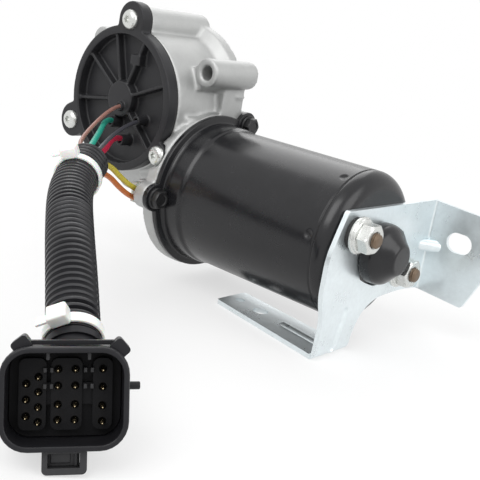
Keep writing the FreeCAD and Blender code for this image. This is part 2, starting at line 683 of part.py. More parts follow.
def armature_core():
    """The slotted lamination stack."""
    end = ARMATURE_START_X + ARMATURE_LENGTH
    core = ring_x(ARMATURE_RADIUS, SHAFT_RADIUS + FIT_GAP, ARMATURE_START_X, end)
    for number in range(ARMATURE_SLOTS):
        slot = fused([block((ARMATURE_START_X, end), (-1.0, 1.0), (SLOT_PITCH_RADIUS - 5.1, ARMATURE_RADIUS + 1)),
                      along_x(2.7, ARMATURE_START_X, end, 0, SLOT_PITCH_RADIUS)])
        slot.rotate(Vector(0, 0, 0), Vector(1, 0, 0), 360 * number / ARMATURE_SLOTS)
        core = core.cut(slot.translated(Vector(0, MOTOR_Y, MOTOR_Z)))
    return core


def armature_windings():
    """The two winding heads and the copper that fills the slots."""
    start = ARMATURE_START_X
    end = start + ARMATURE_LENGTH
    over = WINDING_OVERHANG
    heads = []
    for x0, x1, out in ((start - over, start - 0.1, -1), (end + 0.1, end + over, 1)):
        head = ring_x(WINDING_RADIUS, SHAFT_RADIUS + 2.5, x0, x1)
        outer = [e for e in head.Edges if abs(e.BoundBox.YLength - 2 * WINDING_RADIUS) < 0.01
                 and abs(e.BoundBox.XMax - (x0 if out < 0 else x1)) < 0.01]
        heads.append(head.makeFillet(3.0, outer))
    bars = []
    for number in range(ARMATURE_SLOTS):
        bar = along_x(2.4, start - 0.6, end + 0.6, 0, SLOT_PITCH_RADIUS)
        bar.rotate(Vector(0, 0, 0), Vector(1, 0, 0), 360 * number / ARMATURE_SLOTS)
        bars.append(bar.translated(Vector(0, MOTOR_Y, MOTOR_Z)))
    return fused(heads + bars)


def commutator():
    """The copper commutator with its cut bars."""
    start = FLANGE_X + 2.5
    end = start + COMMUTATOR_LENGTH
    drum = ring_x(COMMUTATOR_RADIUS, SHAFT_RADIUS + FIT_GAP, start, end)
    for number in range(COMMUTATOR_BARS):
        cut = block((start, end), (-0.3, 0.3), (COMMUTATOR_RADIUS - 1.2, COMMUTATOR_RADIUS + 1))
        cut.rotate(Vector(0, 0, 0), Vector(1, 0, 0), 360 * number / COMMUTATOR_BARS)
        drum = drum.cut(cut.translated(Vector(0, MOTOR_Y, MOTOR_Z)))
    return drum


# Motor can and what it holds

def motor_can():
    """The deep-drawn can: flange with ears, straight body, rounded shoulder, end plate and bearing cup."""
    start = FLANGE_X
    end = BRACKET_X
    inner = CAN_RADIUS - CAN_WALL
    cup_end = end + CUP_LENGTH
    profile = [
        (start, inner, 0), (start, CAN_FLANGE_RADIUS, 0.4), (start + CAN_FLANGE_THICKNESS, CAN_FLANGE_RADIUS, 0.4),
        (start + CAN_FLANGE_THICKNESS, CAN_RADIUS + CAN_ROOT_STEP, 1.2),
        (start + CAN_ROOT_LENGTH, CAN_RADIUS + CAN_ROOT_STEP, 0.5), (start + CAN_ROOT_LENGTH + 1.5, CAN_RADIUS, 0.5),
        (end, CAN_RADIUS, CAN_SHOULDER), (end, CUP_RADIUS, CUP_ROOT_RADIUS), (cup_end, CUP_RADIUS, CUP_EDGE_RADIUS),
        (cup_end, 0, 0), (cup_end - CAN_WALL, 0, 0), (cup_end - CAN_WALL, CUP_RADIUS - CAN_WALL, 0),
        (end - CAN_WALL, CUP_RADIUS - CAN_WALL, 0), (end - CAN_WALL, inner, CAN_SHOULDER - CAN_WALL)]
    face = rounded_face([(Vector(x, MOTOR_Y, MOTOR_Z + r), bend) for x, r, bend in profile])
    shell = face.revolve(Vector(0, MOTOR_Y, MOTOR_Z), Vector(1, 0, 0), 360)
    ears = []
    for y, z in case_ears():
        ears.append(along_x(EAR_RADIUS, start, start + CAN_FLANGE_THICKNESS, y, z))
    shell = fused([shell] + ears)
    shell = shell.cut(along_x(inner, start - 1, start + CAN_FLANGE_THICKNESS + 4))
    for y, z in case_ears():
        shell = shell.cut(along_x(MOTOR_SCREW_RADIUS + RUN_GAP, start, start + CAN_FLANGE_THICKNESS, y, z))
        relief = along_x(EAR_RADIUS - 0.2, start + CAN_FLANGE_THICKNESS, start + 14, y, z)
        shell = shell.cut(relief.cut(along_x(CAN_RADIUS - 0.6, start, start + 20)))
    for angle in DENT_ANGLES:
        y, z = on_motor(CAN_RADIUS + DENT_BALL_RADIUS - DENT_DEPTH, angle)
        shell = shell.cut(Part.makeSphere(DENT_BALL_RADIUS, Vector(end - DENT_FROM_END, y, z)))
    for side in (1, -1):
        y, z = MOTOR_Y - side * STUD_ACROSS, MOTOR_Z + side * STUD_UP
        shell = shell.cut(along_x(STUD_RADIUS + RUN_GAP, end - 3, end, y, z))
    return shell


def motor_screws():
    """Three hex-washer screws that hold the can to the case."""
    screws = []
    for y, z in case_ears():
        face = FLANGE_X + CAN_FLANGE_THICKNESS
        washer = along_x(4.6, face, face + 1.0, y, z)
        corners = [(face + 1.0, y + dy, z + dz) for dy, dz in (polar(4.0, 30 + 60 * k) for k in range(6))]
        head = prism(corners, (3.0, 0, 0))
        shank = along_x(MOTOR_SCREW_RADIUS, FLANGE_X - CASE_FLANGE_THICKNESS, face + 0.5, y, z)
        screws.append(fused([washer, head, shank]))
    return Part.makeCompound(screws)


def motor_gasket():
    """The rubber ring in the joint between the case and the can."""
    start = FLANGE_X + 0.3
    inner = CAN_RADIUS - CAN_WALL
    return ring_x(inner - SEAT_GAP, inner - 2.0, start, start + 2.0)


def field_magnets():
    """Two arc magnets against the can's wall."""
    start = ARMATURE_START_X - 2
    end = ARMATURE_START_X + ARMATURE_LENGTH + 2
    ring = ring_x(MAGNET_RADIUS, MAGNET_RADIUS - MAGNET_THICKNESS, start, end)
    arcs = []
    for middle in (90.0, 270.0):
        wedge_points = [(start, MOTOR_Y, MOTOR_Z)]
        for step in range(9):
            y, z = on_motor(2 * CAN_RADIUS, middle + MAGNET_ANGLE * (step / 8 - 0.5))
            wedge_points.append((start, y, z))
        arcs.append(ring.common(prism(wedge_points, (end - start, 0, 0))))
    return Part.makeCompound(arcs)


def magnet_clips():
    """Two spring strips that push the magnets apart."""
    start = ARMATURE_START_X - 2
    end = ARMATURE_START_X + ARMATURE_LENGTH + 2
    half = (180 - MAGNET_ANGLE) / 2 - 1.5
    clips = []
    for middle in (0.0, 180.0):
        ring = ring_x(MAGNET_RADIUS, MAGNET_RADIUS - 1.0, start, end)
        fan = [(start, MOTOR_Y, MOTOR_Z)]
        for step in range(5):
            y, z = on_motor(2 * CAN_RADIUS, middle + half * (step / 2 - 1))
            fan.append((start, y, z))
        clips.append(ring.common(prism(fan, (end - start, 0, 0))))
    return Part.makeCompound(clips)


def rear_bush():
    """The bush in the can's cup."""
    end = BRACKET_X + CUP_LENGTH - CAN_WALL
    return ring_x(CUP_RADIUS - CAN_WALL - 0.1, SHAFT_RADIUS + RUN_GAP, end - 5.2, end - 0.2)


def bush_retainer():
    """The spring ring that holds the bush in the cup."""
    end = BRACKET_X + CUP_LENGTH - CAN_WALL
    return ring_x(CUP_RADIUS - CAN_WALL - 0.1, SHAFT_RADIUS + 2.0, end - 6.4, end - 5.3)


def brush_frame():
    """Where the brushes start and end along the motor axis."""
    start = FLANGE_X + 0.4 + 2.5
    return start, start + BRUSH_WIDTH


def beside_commutator(side, near, far, x, half_height):
    """A block on one side of the motor axis, between two distances from it."""
    ends = sorted((MOTOR_Y + side * near, MOTOR_Y + side * far))
    return block(x, ends, (MOTOR_Z - half_height, MOTOR_Z + half_height))


def brush_plate():
    """The moulded plate that carries the brushes, with its two holders."""
    start, end = brush_frame()
    body = ring_x(BRUSH_PLATE_RADIUS, COMMUTATOR_RADIUS + 3.0, FLANGE_X + 0.4, FLANGE_X + 2.4)
    for side in (-1, 1):
        body = body.fuse(beside_commutator(side, COMMUTATOR_RADIUS + 3.2, BRUSH_HOLDER_REACH,
                                           (start - 1.5, end + 1.5), BRUSH_HEIGHT / 2 + 1.5))
    for side in (-1, 1):
        body = body.cut(beside_commutator(side, COMMUTATOR_RADIUS + 1.0, BRUSH_HOLDER_REACH + 2.0,
                                          (start - 0.1, end + 0.1), BRUSH_HEIGHT / 2 + 0.1))
    return body


def brushes():
    """Two carbon brushes on the commutator."""
    start, end = brush_frame()
    inner = COMMUTATOR_RADIUS + RUN_GAP
    pair = []
    for side in (-1, 1):
        brush = beside_commutator(side, inner - 0.9, inner + BRUSH_LENGTH, (start, end), BRUSH_HEIGHT / 2)
        pair.append(brush.cut(along_x(inner, start - 1, end + 1)))
    return Part.makeCompound(pair)


def brush_springs():
    """Two coiled strips that push the brushes inwards, as plain rings."""
    start, end = brush_frame()
    pair = []
    for side in (-1, 1):
        y = MOTOR_Y + side * (BRUSH_HOLDER_REACH - BRUSH_SPRING_RADIUS + 0.1)
        pair.append(ring_x(BRUSH_SPRING_RADIUS, BRUSH_SPRING_RADIUS - 0.6, start + 0.8, end - 0.8, y, MOTOR_Z))
    return Part.makeCompound(pair)


# Bracket

def plate_outline():
    """The upright plate's outline, run through the sheet: straight top, soft left side, leg and arched lower edge."""
    low = FOOT_BOTTOM - 1
    corners = [(BEND_ACROSS, BRACKET_TOP, 0), (-24.2, BRACKET_TOP, PLATE_CORNER), (-27.8, 9.6, None), (-31.4, 0.5, None),
               (-31.2, -15.7, None), (-28.0, -24.0, None), (-27.6, -30.0, None), (LEG_LEFT, low, 0),
               (LEG_RIGHT, low, 0), (LEG_RIGHT + 1.6, -33.0, None), (0.2, -25.4, None), (9.0, -21.2, None),
               (28.0, -20.4, None), (BEND_ACROSS, -22.0, 0)]
    inside = BRACKET_X - BEND_RADIUS + SHEET
    face = rounded_face([(Vector(inside, MOTOR_Y + a, MOTOR_Z + u), radius) for a, u, radius in corners])
    return face.extrude(Vector(BRACKET_X + SHEET - inside, 0, 0))


def foot_outline():
    """The foot's outline, run through the sheet."""
    low = MOTOR_Z + FOOT_BOTTOM
    corners = [(BRACKET_X, LEG_LEFT, 0), (BRACKET_X, LEG_RIGHT, 0), (FOOT_END_X, 0.5, FOOT_CORNER),
               (FOOT_END_X, -18.3, FOOT_CORNER)]
    face = rounded_face([(Vector(x, MOTOR_Y + a, low), radius) for x, a, radius in corners])
    return face.extrude(Vector(0, 0, SHEET))


def bracket_plate():
    """Plate, leg and foot as one bent sheet, trimmed to the two outlines."""
    low = MOTOR_Z + FOOT_BOTTOM
    start_y = MOTOR_Y - CAN_FLANGE_RADIUS
    corners = [(FOOT_END_X, low, 0), (BRACKET_X + SHEET, low, BEND_RADIUS), (BRACKET_X + SHEET, MOTOR_Z + BRACKET_TOP, 0),
               (BRACKET_X, MOTOR_Z + BRACKET_TOP, 0), (BRACKET_X, low + SHEET, BEND_RADIUS - SHEET),
               (FOOT_END_X, low + SHEET, 0)]
    face = rounded_face([(Vector(x, start_y, z), radius) for x, z, radius in corners])
    sheet = face.extrude(Vector(0, MOTOR_Y + BEND_ACROSS - start_y, 0))
    return sheet.common(plate_outline().fuse(foot_outline()))


def bracket_opening():
    """The plate's opening: a circle with a flat top and bottom, cut back round the lower stud's seat."""
    across, up = OPENING_CENTRE
    x0, x1 = BRACKET_X - 1, BRACKET_X + SHEET + 1
    flats = block((x0, x1), (MOTOR_Y - 30, MOTOR_Y + 30), (MOTOR_Z + OPENING_FLATS[0], MOTOR_Z + OPENING_FLATS[1]))
    round_hole = along_x(OPENING_RADIUS, x0, x1, MOTOR_Y + across, MOTOR_Z + up)
    seat = along_x(NUT_FLANGE_RADIUS + 0.7, x0, x1, MOTOR_Y + STUD_ACROSS, MOTOR_Z - STUD_UP)
    return round_hole.common(flats).cut(seat)


def bracket_wing():
    """The wing beside the plate, with its slot."""
    face_y = MOTOR_Y + BEND_ACROSS - SHEET
    corners = [(BRACKET_X, BRACKET_TOP, 0), (BRACKET_X, -22.0, 0), (WING_LOW_X, -23.8, WING_CORNER),
               (WING_END_X, -5.0, WING_CORNER), (WING_END_X, BRACKET_TOP - 2, WING_CORNER)]
    face = rounded_face([(Vector(x, face_y, MOTOR_Z + u), radius) for x, u, radius in corners])
    wing = face.extrude(Vector(0, SHEET, 0))
    ends = [(WING_SLOT_X + side * WING_SLOT_HALF, MOTOR_Z + WING_SLOT_UP) for side in (-1, 1)]
    slot = [along_y(WING_SLOT_RADIUS, face_y - 1, face_y + SHEET + 1, x, z) for x, z in ends]
    slot.append(block((ends[0][0], ends[1][0]), (face_y - 1, face_y + SHEET + 1),
                      (ends[0][1] - WING_SLOT_RADIUS, ends[0][1] + WING_SLOT_RADIUS)))
    return wing.cut(fused(slot))


def bead(start, end):
    """A round bar with a ball at each end, for a pressed bead."""
    first, last = Vector(*start), Vector(*end)
    bar = Part.makeCylinder(BEAD_RADIUS, (last - first).Length, first, last - first)
    return bar.fuse(Part.makeSphere(BEAD_RADIUS, first)).fuse(Part.makeSphere(BEAD_RADIUS, last))


def foot_ridge():
    """The bead's raised run on the foot, without what lies under the sheet's middle."""
    low = MOTOR_Z + FOOT_BOTTOM
    ridge = bead((BEAD_FOOT_X, MOTOR_Y + BEAD_FOOT_ACROSS, low + SHEET - BEAD_SINK),
                 (BRACKET_X + SHEET - BEAD_RADIUS - 0.4, MOTOR_Y + BEAD_ACROSS, low + SHEET - BEAD_SINK))
    return ridge.cut(block((FOOT_END_X, WING_END_X), (MOTOR_Y - 40, MOTOR_Y), (low - 5, low + SHEET / 2)))


def bend_dart():
    """The dart pressed into the wing's bend, as a short bar across the inside corner."""
    inside_x = BRACKET_X + SHEET
    inside_y = MOTOR_Y + BEND_ACROSS - SHEET
    up = MOTOR_Z + DART_UP
    bar = bead((inside_x - DART_SINK, inside_y - DART_LENGTH, up), (inside_x + DART_LENGTH, inside_y + DART_SINK, up))
    return bar.common(block((BRACKET_X + SHEET / 2, WING_END_X), (MOTOR_Y, inside_y + SHEET / 2), (up - 10, up + 10)))


def mounting_bracket():
    """The bent sheet bracket: plate with an opening, leg, foot and wing, with rounded bends."""
    wing_y = MOTOR_Y + BEND_ACROSS
    low = MOTOR_Z + FOOT_BOTTOM
    body = fused([bracket_plate(), bracket_wing()])
    body = body.makeFillet(BEND_RADIUS, edges_along(body, (0, 0, 1), x=BRACKET_X, y=wing_y))
    body = body.makeFillet(BEND_RADIUS - SHEET, edges_along(body, (0, 0, 1), x=BRACKET_X + SHEET, y=wing_y - SHEET))
    body = body.cut(bracket_opening()).fuse([bend_dart(), foot_ridge()])
    for x, across, radius in FOOT_HOLES:
        body = body.cut(Part.makeCylinder(radius, SHEET + 2, Vector(x, MOTOR_Y + across, low - 1)))
    groove = bead((BRACKET_X + SHEET + BEAD_SINK, MOTOR_Y + BEAD_TOP_ACROSS, MOTOR_Z + BEAD_TOP_UP),
                  (BRACKET_X + SHEET + BEAD_SINK, MOTOR_Y + BEAD_ACROSS, low + BEND_RADIUS))
    body = body.cut(groove)
    for side in (1, -1):
        y, z = MOTOR_Y - side * STUD_ACROSS, MOTOR_Z + side * STUD_UP
        body = body.cut(along_x(STUD_RADIUS + SEAT_GAP, BRACKET_X - 1, BRACKET_X + SHEET + 1, y, z))
    return body


def bracket_studs():
    """Two studs that stand out of the can's end, with flat heads inside."""
    studs = []
    for side in (1, -1):
        y, z = MOTOR_Y - side * STUD_ACROSS, MOTOR_Z + side * STUD_UP
        stud = along_x(STUD_RADIUS, BRACKET_X - CAN_WALL, STUD_END_X, y, z)
        stud = stud.makeChamfer(0.5, [e for e in stud.Edges if abs(e.BoundBox.XMin - STUD_END_X) < 1e-6])
        head = along_x(STUD_RADIUS + STUD_HEAD_STEP, BRACKET_X - CAN_WALL - 1.6, BRACKET_X - CAN_WALL, y, z)
        studs.append(stud.fuse(head))
    return Part.makeCompound(studs)


def bracket_nuts():
    """Two hex flange nuts."""
    nuts = []
    for side in (1, -1):
        y, z = MOTOR_Y - side * STUD_ACROSS, MOTOR_Z + side * STUD_UP
        face = BRACKET_X + SHEET
        corner = NUT_FLATS / 2 / math.cos(math.radians(30))
        hexagon = prism([(face, y + dy, z + dz) for dy, dz in (polar(corner, 60 * k) for k in range(6))],
                        (NUT_HEIGHT, 0, 0))
        dome = Part.makeCone(corner + NUT_HEIGHT, corner - 0.6, NUT_HEIGHT, Vector(face, y, z), Vector(1, 0, 0))
        flange = along_x(NUT_FLANGE_RADIUS, face, face + NUT_FLANGE_THICKNESS, y, z)
        nut = hexagon.common(dome).fuse(flange)
        nuts.append(nut.cut(along_x(STUD_RADIUS + RUN_GAP, face, face + NUT_HEIGHT, y, z)))
    return Part.makeCompound(nuts)


# Harness

def loom_route():
    """The loom's route from its mouth to the connector's backshell."""
    return [(33.6, -84.9, -19.5), (41.9, -97.0, -23.5), (53.0, -108.5, -26.5), (76.0, -125.0, -33.5),
            (96.0, -138.0, -43.5), (112.5, -149.0, -52.8)]


def mouth_point(across, up, before=0.0):
    """A point on the loom's mouth, or in front of it by a distance along the loom's axis."""
    route = loom_route()
    centre = Vector(*route[0])
    away = (Vector(*route[1]) - centre).normalize()
    side = Vector(-away.y, away.x, 0).normalize()
    rise = side.cross(away).normalize() * -1
    return tuple(centre + side * across + rise * up - away * before)


def wire_routes():
    """Each wire's route and diameter, from where it leaves the object to the loom's mouth."""
    leads = {"brown": ((2.7, -57.0, -3.1), -3.0, 6.0, 15.0), "green": ((-2.2, -56.0, -11.2), 0.2, 6.2, 15.0),
             "black": ((15.0, -55.0, -7.2), 3.4, 5.2, 13.0), "red": ((5.8, -57.0, -17.8), 1.6, 2.2, 10.0)}
    routes = {}
    for name, (x, z, wire) in cover_tubes().items():
        bend, across, up, before = leads[name]
        routes[name] = ([(x, WIRE_START_Y, z), bend, mouth_point(across, up, before), mouth_point(across, up)], wire)
    routes["yellow"] = ([(26.8, -51.5, -34.4), (26.8, -61.0, -34.4), mouth_point(4.2, -3.6, 11.0),
                         mouth_point(4.2, -3.6)], THICK_WIRE)
    routes["orange"] = ([(26.8, -51.5, -38.6), (26.8, -62.0, -38.6), mouth_point(2.0, -6.0, 10.0),
                         mouth_point(2.0, -6.0)], THICK_WIRE)
    return routes


def wire_grommet():
    """The soft grommet in the case's cable exit."""
    flange = block((23.8, 29.9), (-51.5, -47.5), (-41.0, -32.0))
    front = [e for e in flange.Edges if e.BoundBox.YMax < -51.4]
    flange = flange.makeFillet(1.2, front)
    return flange.fuse(block((24.4 + FIT_GAP, 29.6 - FIT_GAP), (-47.6, -43.5), (-40.4 + FIT_GAP, -32.6 - FIT_GAP)))


def place_connector(shape):
    """Moves a shape from the connector's own frame, whose +X leaves its mating face, to its place."""
    turn = FreeCAD.Rotation(CONNECTOR_YAW, -CONNECTOR_TILT, CONNECTOR_ROLL)
    shape.Placement = FreeCAD.Placement(Vector(*CONNECTOR_FACE), turn).multiply(shape.Placement)
    return shape


def connector_shell():
    """The open shell round the pins, with side pins and a step behind."""
    width, height = CONNECTOR_WIDTH, CONNECTOR_HEIGHT
    outer = rounded_prism(width, height, CONNECTOR_CORNER, -CONNECTOR_DEPTH, 0)
    inner = rounded_prism(width - 2 * CONNECTOR_WALL, height - 2 * CONNECTOR_WALL,
                          CONNECTOR_CORNER - CONNECTOR_WALL, -CONNECTOR_DEPTH + CONNECTOR_BACK, 1)
    rim = rounded_prism(width + 2 * RIM_STEP, height + 2 * RIM_STEP, CONNECTOR_CORNER + RIM_STEP, RIM_START, RIM_END)
    pins = Part.makeCylinder(1.1, width + 7, Vector(-7, -width / 2 - 3.5, 2.5), Vector(0, 1, 0))
    shell = fused([outer, rim, pins])
    return shell.cut(inner)


def connector_insert():
    """The keyed block inside the shell: three lobes joined at their middle."""
    floor = -CONNECTOR_DEPTH + CONNECTOR_BACK
    slack = 2 * CONNECTOR_WALL + 0.4
    lobes = [rounded_prism(CONNECTOR_WIDTH - slack, CONNECTOR_HEIGHT - slack,
                           CONNECTOR_CORNER - slack / 2, floor, floor + 2.0)]
    for y, wide in ((-8.8, 7.4), (0.3, 8.4), (10.0, 5.4)):
        lobe = rounded_prism(wide, 19.5, 2.0, floor + 1.0, INSERT_FACE)
        lobes.append(lobe.translated(Vector(0, y, 0)))
    lobes.append(rounded_prism(18.0, 6.0, 1.0, floor + 1.0, INSERT_FACE - 1.0))
    body = fused(lobes)
    for y, z in connector_cavities():
        body = body.cut(Part.makeCylinder(1.1, 2.5, Vector(INSERT_FACE - 2.5, y, z), Vector(1, 0, 0)))
    return body


def connector_cavities():
    """Where the pins stand, as (across, up) on the connector's face."""
    columns = {-10.4: (2.9, -1.4, -5.9), -7.2: (4.7, 0.6, -3.5, -7.5), -2.0: (6.8, 2.3, -2.8, -7.0),
               2.6: (6.8, 2.3, -2.8, -7.0), 10.0: (6.8, 1.9, -3.2, -7.5)}
    return [(y, z) for y, rows in columns.items() for z in rows]


def connector_pins():
    """The contact pins, as one set."""
    foot = INSERT_FACE - 2.5
    pins = []
    for y, z in connector_cavities():
        pin = Part.makeCylinder(0.55, PIN_TIP - 0.8 - foot, Vector(foot, y, z), Vector(1, 0, 0))
        pins.append(pin.fuse(Part.makeCone(0.55, 0.15, 0.8, Vector(PIN_TIP - 0.8, y, z), Vector(1, 0, 0))))
    return Part.makeCompound(pins)


def shell_outside():
    """The shell's outer form as one solid, in place, for trimming what leans on it."""
    return place_connector(rounded_prism(CONNECTOR_WIDTH, CONNECTOR_HEIGHT, CONNECTOR_CORNER, -CONNECTOR_DEPTH, 0))


def backshell_block():
    """The block behind the shell, in place."""
    return place_connector(rounded_prism(27.0, 19.0, 4.0, -CONNECTOR_DEPTH - BACKSHELL_DEPTH, -CONNECTOR_DEPTH))


def connector_backshell():
    """The cover behind the shell, with the sleeve that takes the loom's end."""
    end, away = along_cord(loom_route(), -0.001)
    sleeve = Part.makeCylinder(SLEEVE_RADIUS, 9.5, Vector(*loom_route()[-1]), away)
    return fused([backshell_block(), sleeve]).cut(shell_outside())


def connector_collar():
    """The split collar round the sleeve, next to the loom."""
    end, away = along_cord(loom_route(), -0.001)
    inner = SLEEVE_RADIUS + FIT_GAP
    start = Vector(*loom_route()[-1]) + away * 0.8
    collar = Part.makeCylinder(inner + 0.8, 2.4, start, away).cut(Part.makeCylinder(inner, 2.4, start, away))
    return collar.cut(shell_outside()).cut(backshell_block())


def connector_lock():
    """The lock bar over the shell, with a lug at each end."""
    top = CONNECTOR_HEIGHT / 2
    bar = block((-8.6, -6.0), (-11.0, 14.4), (top + 0.35, top + 1.5))
    lugs = []
    for y, lean in ((-11.6, 38), (14.4, -48)):
        lug = rounded_prism(4.8, 4.0, 1.0, -10.0, -3.6)
        lug.rotate(Vector(0, 0, 0), Vector(1, 0, 0), lean)
        lugs.append(lug.translated(Vector(0, y, top + 0.4 - 0.14 * max(0, y - 8))))
    return place_connector(fused([bar] + lugs)).cut(shell_outside())


def connector_clip():
    """The slotted fixing tab under the shell, trimmed where it would pass below the standing surface."""
    under = -CONNECTOR_HEIGHT / 2
    tab = block((-8.4, RIM_START - RUN_GAP), (-5.7, 6.1), (under - 6.8, under))
    corners = [e for e in tab.Edges if abs(e.tangentAt(e.FirstParameter).x) > 0.9 and e.BoundBox.ZMax < under - 1]
    tab = tab.makeFillet(1.4, corners).cut(block((-14.0, 0), (-4.2, 4.2), (under - 5.0, under - 1.2)))
    below = Part.makeBox(80, 80, 40, Vector(100, -210, FLOOR_Z + 0.05 - 40))
    return place_connector(tab).cut(below)


def cable_tie(point, along, towards):
    """A tie round the loom, with its head on the side that a direction names."""
    inner = LOOM_DIAMETER / 2 + TIE_GAP
    start = point - along * (TIE_WIDTH / 2)
    band = Part.makeCylinder(inner + TIE_THICKNESS, TIE_WIDTH, start, along)
    out = Vector(*towards)
    out = (out - along * out.dot(along)).normalize()
    long, wide, high = TIE_HEAD
    head = Part.makeBox(long, wide, high, Vector(-long / 2, -wide / 2, inner + 0.4))
    head = head.makeFillet(0.8, [e for e in head.Edges if e.BoundBox.ZMin > inner + high])
    tail = Part.makeBox(TIE_WIDTH - 0.4, 4.6, TIE_THICKNESS, Vector(-TIE_WIDTH / 2 + 0.2, wide / 2 - 0.2, inner + 1.6))
    fixing = head.fuse(tail)
    fixing.Placement = FreeCAD.Placement(point, tie_rotation(along, out))
    return fused([band, fixing]).cut(Part.makeCylinder(inner, 30, point - along * 15, along))


def tie_rotation(along, out):
    """The rotation that lays local X on the loom's axis and local Z on the outward direction."""
    side = out.cross(along)
    matrix = FreeCAD.Matrix(along.x, side.x, out.x, 0, along.y, side.y, out.y, 0,
                            along.z, side.z, out.z, 0, 0, 0, 0, 1)
    return FreeCAD.Placement(matrix).Rotation


def main():
    """Builds every node and writes its STEP file."""
    os.makedirs("parts", exist_ok=True)
    save("gear_housing", gear_housing())
    save("output_bushing", output_bushing())
    save("output_seal", output_seal())
    save("thrust_plug", thrust_plug())
    save("thrust_ball", thrust_ball())
    save("drive_gear", drive_gear())
    save("output_shaft", output_shaft())
    save("gear_retainer", gear_retainer())
    save("sensor_wiper", sensor_wiper())
    save("sensor_cover", sensor_cover())
    save("cover_gasket", cover_gasket())
    save("cover_screws", cover_screws())
    save("sensor_board", sensor_board())
    save("worm", worm())
    save("motor_shaft", motor_shaft())
    save("shaft_bearing", shaft_bearing())
    save("armature_core", armature_core())
    save("armature_windings", armature_windings())
    save("commutator", commutator())
    save("motor_can", motor_can())
    save("motor_screws", motor_screws())
    save("motor_gasket", motor_gasket())
    save("field_magnets", field_magnets())
    save("magnet_clips", magnet_clips())
    save("rear_bush", rear_bush())
    save("bush_retainer", bush_retainer())
    save("brush_plate", brush_plate())
    save("brushes", brushes())
    save("brush_springs", brush_springs())
    save("mounting_bracket", mounting_bracket())
    save("bracket_studs", bracket_studs())
    save("bracket_nuts", bracket_nuts())
    save("loom", tube(loom_route(), LOOM_DIAMETER, "loom"))
    for name, (route, wire) in wire_routes().items():
        save("wire_" + name, tube(route, wire, "wire_" + name))
    save("wire_grommet", wire_grommet())
    save("connector_shell", place_connector(connector_shell()))
    save("connector_insert", place_connector(connector_insert()))
    save("connector_pins", place_connector(connector_pins()))
    save("connector_backshell", connector_backshell())
    save("connector_collar", connector_collar())
    save("connector_lock", connector_lock())
    save("connector_clip", connector_clip())
    save("cable_tie_upper", cable_tie(*along_cord(loom_route(), UPPER_TIE), UPPER_TIE_SIDE))
    save("cable_tie_lower", cable_tie(*along_cord(loom_route(), -LOWER_TIE), LOWER_TIE_SIDE))


main()
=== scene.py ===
"""Looks of a transfer case shift motor: its surfaces, finishes, cords, floor, lamps and camera.

Lengths are in metres in the model's own frame: the origin is on the output axis in the plane of the mounting face,
X runs along the motor towards its bracket, Y leaves the mounting face and Z is up. What is placed in a Stand, such as
a profile, an outline or a block, is in millimetres, and MM turns other sizes in millimetres into metres.
"""
from __future__ import annotations

import json
import logging
import math
from dataclasses import dataclass
from enum import Enum

import bmesh
import bpy
import numpy as np
from mathutils import Matrix

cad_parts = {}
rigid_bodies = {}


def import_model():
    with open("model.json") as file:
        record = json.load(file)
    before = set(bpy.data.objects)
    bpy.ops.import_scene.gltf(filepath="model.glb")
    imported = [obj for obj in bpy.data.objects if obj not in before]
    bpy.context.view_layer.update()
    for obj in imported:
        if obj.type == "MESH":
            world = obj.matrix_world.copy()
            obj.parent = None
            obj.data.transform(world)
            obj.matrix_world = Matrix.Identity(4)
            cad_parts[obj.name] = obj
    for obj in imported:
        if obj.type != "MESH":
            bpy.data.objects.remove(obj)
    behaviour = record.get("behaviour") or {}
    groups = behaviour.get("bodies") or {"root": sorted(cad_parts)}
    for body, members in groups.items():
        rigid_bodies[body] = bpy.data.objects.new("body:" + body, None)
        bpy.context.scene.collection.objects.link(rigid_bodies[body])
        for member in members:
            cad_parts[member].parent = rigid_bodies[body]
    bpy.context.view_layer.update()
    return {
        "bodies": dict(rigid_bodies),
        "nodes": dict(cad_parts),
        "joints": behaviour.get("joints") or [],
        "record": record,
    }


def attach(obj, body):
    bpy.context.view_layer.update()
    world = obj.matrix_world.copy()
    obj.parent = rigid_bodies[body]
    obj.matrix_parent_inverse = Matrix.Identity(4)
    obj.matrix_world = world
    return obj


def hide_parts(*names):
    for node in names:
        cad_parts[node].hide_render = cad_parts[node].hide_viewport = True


LOG = logging.getLogger("shift_motor")
MM = 0.001
CASE = "case"
UP = np.array([0.0, 0.0, 1.0])
Array = np.ndarray
Piece = bpy.types.Object
Socket = bpy.types.NodeSocket
Pair = tuple[float, float]
Triple = tuple[float, float, float]


# Finishes

class Grain(Enum):
    """How the fine relief of a finish is made."""

    BLASTED = "blasted"
    MOULDED = "moulded"
    TURNED = "turned"


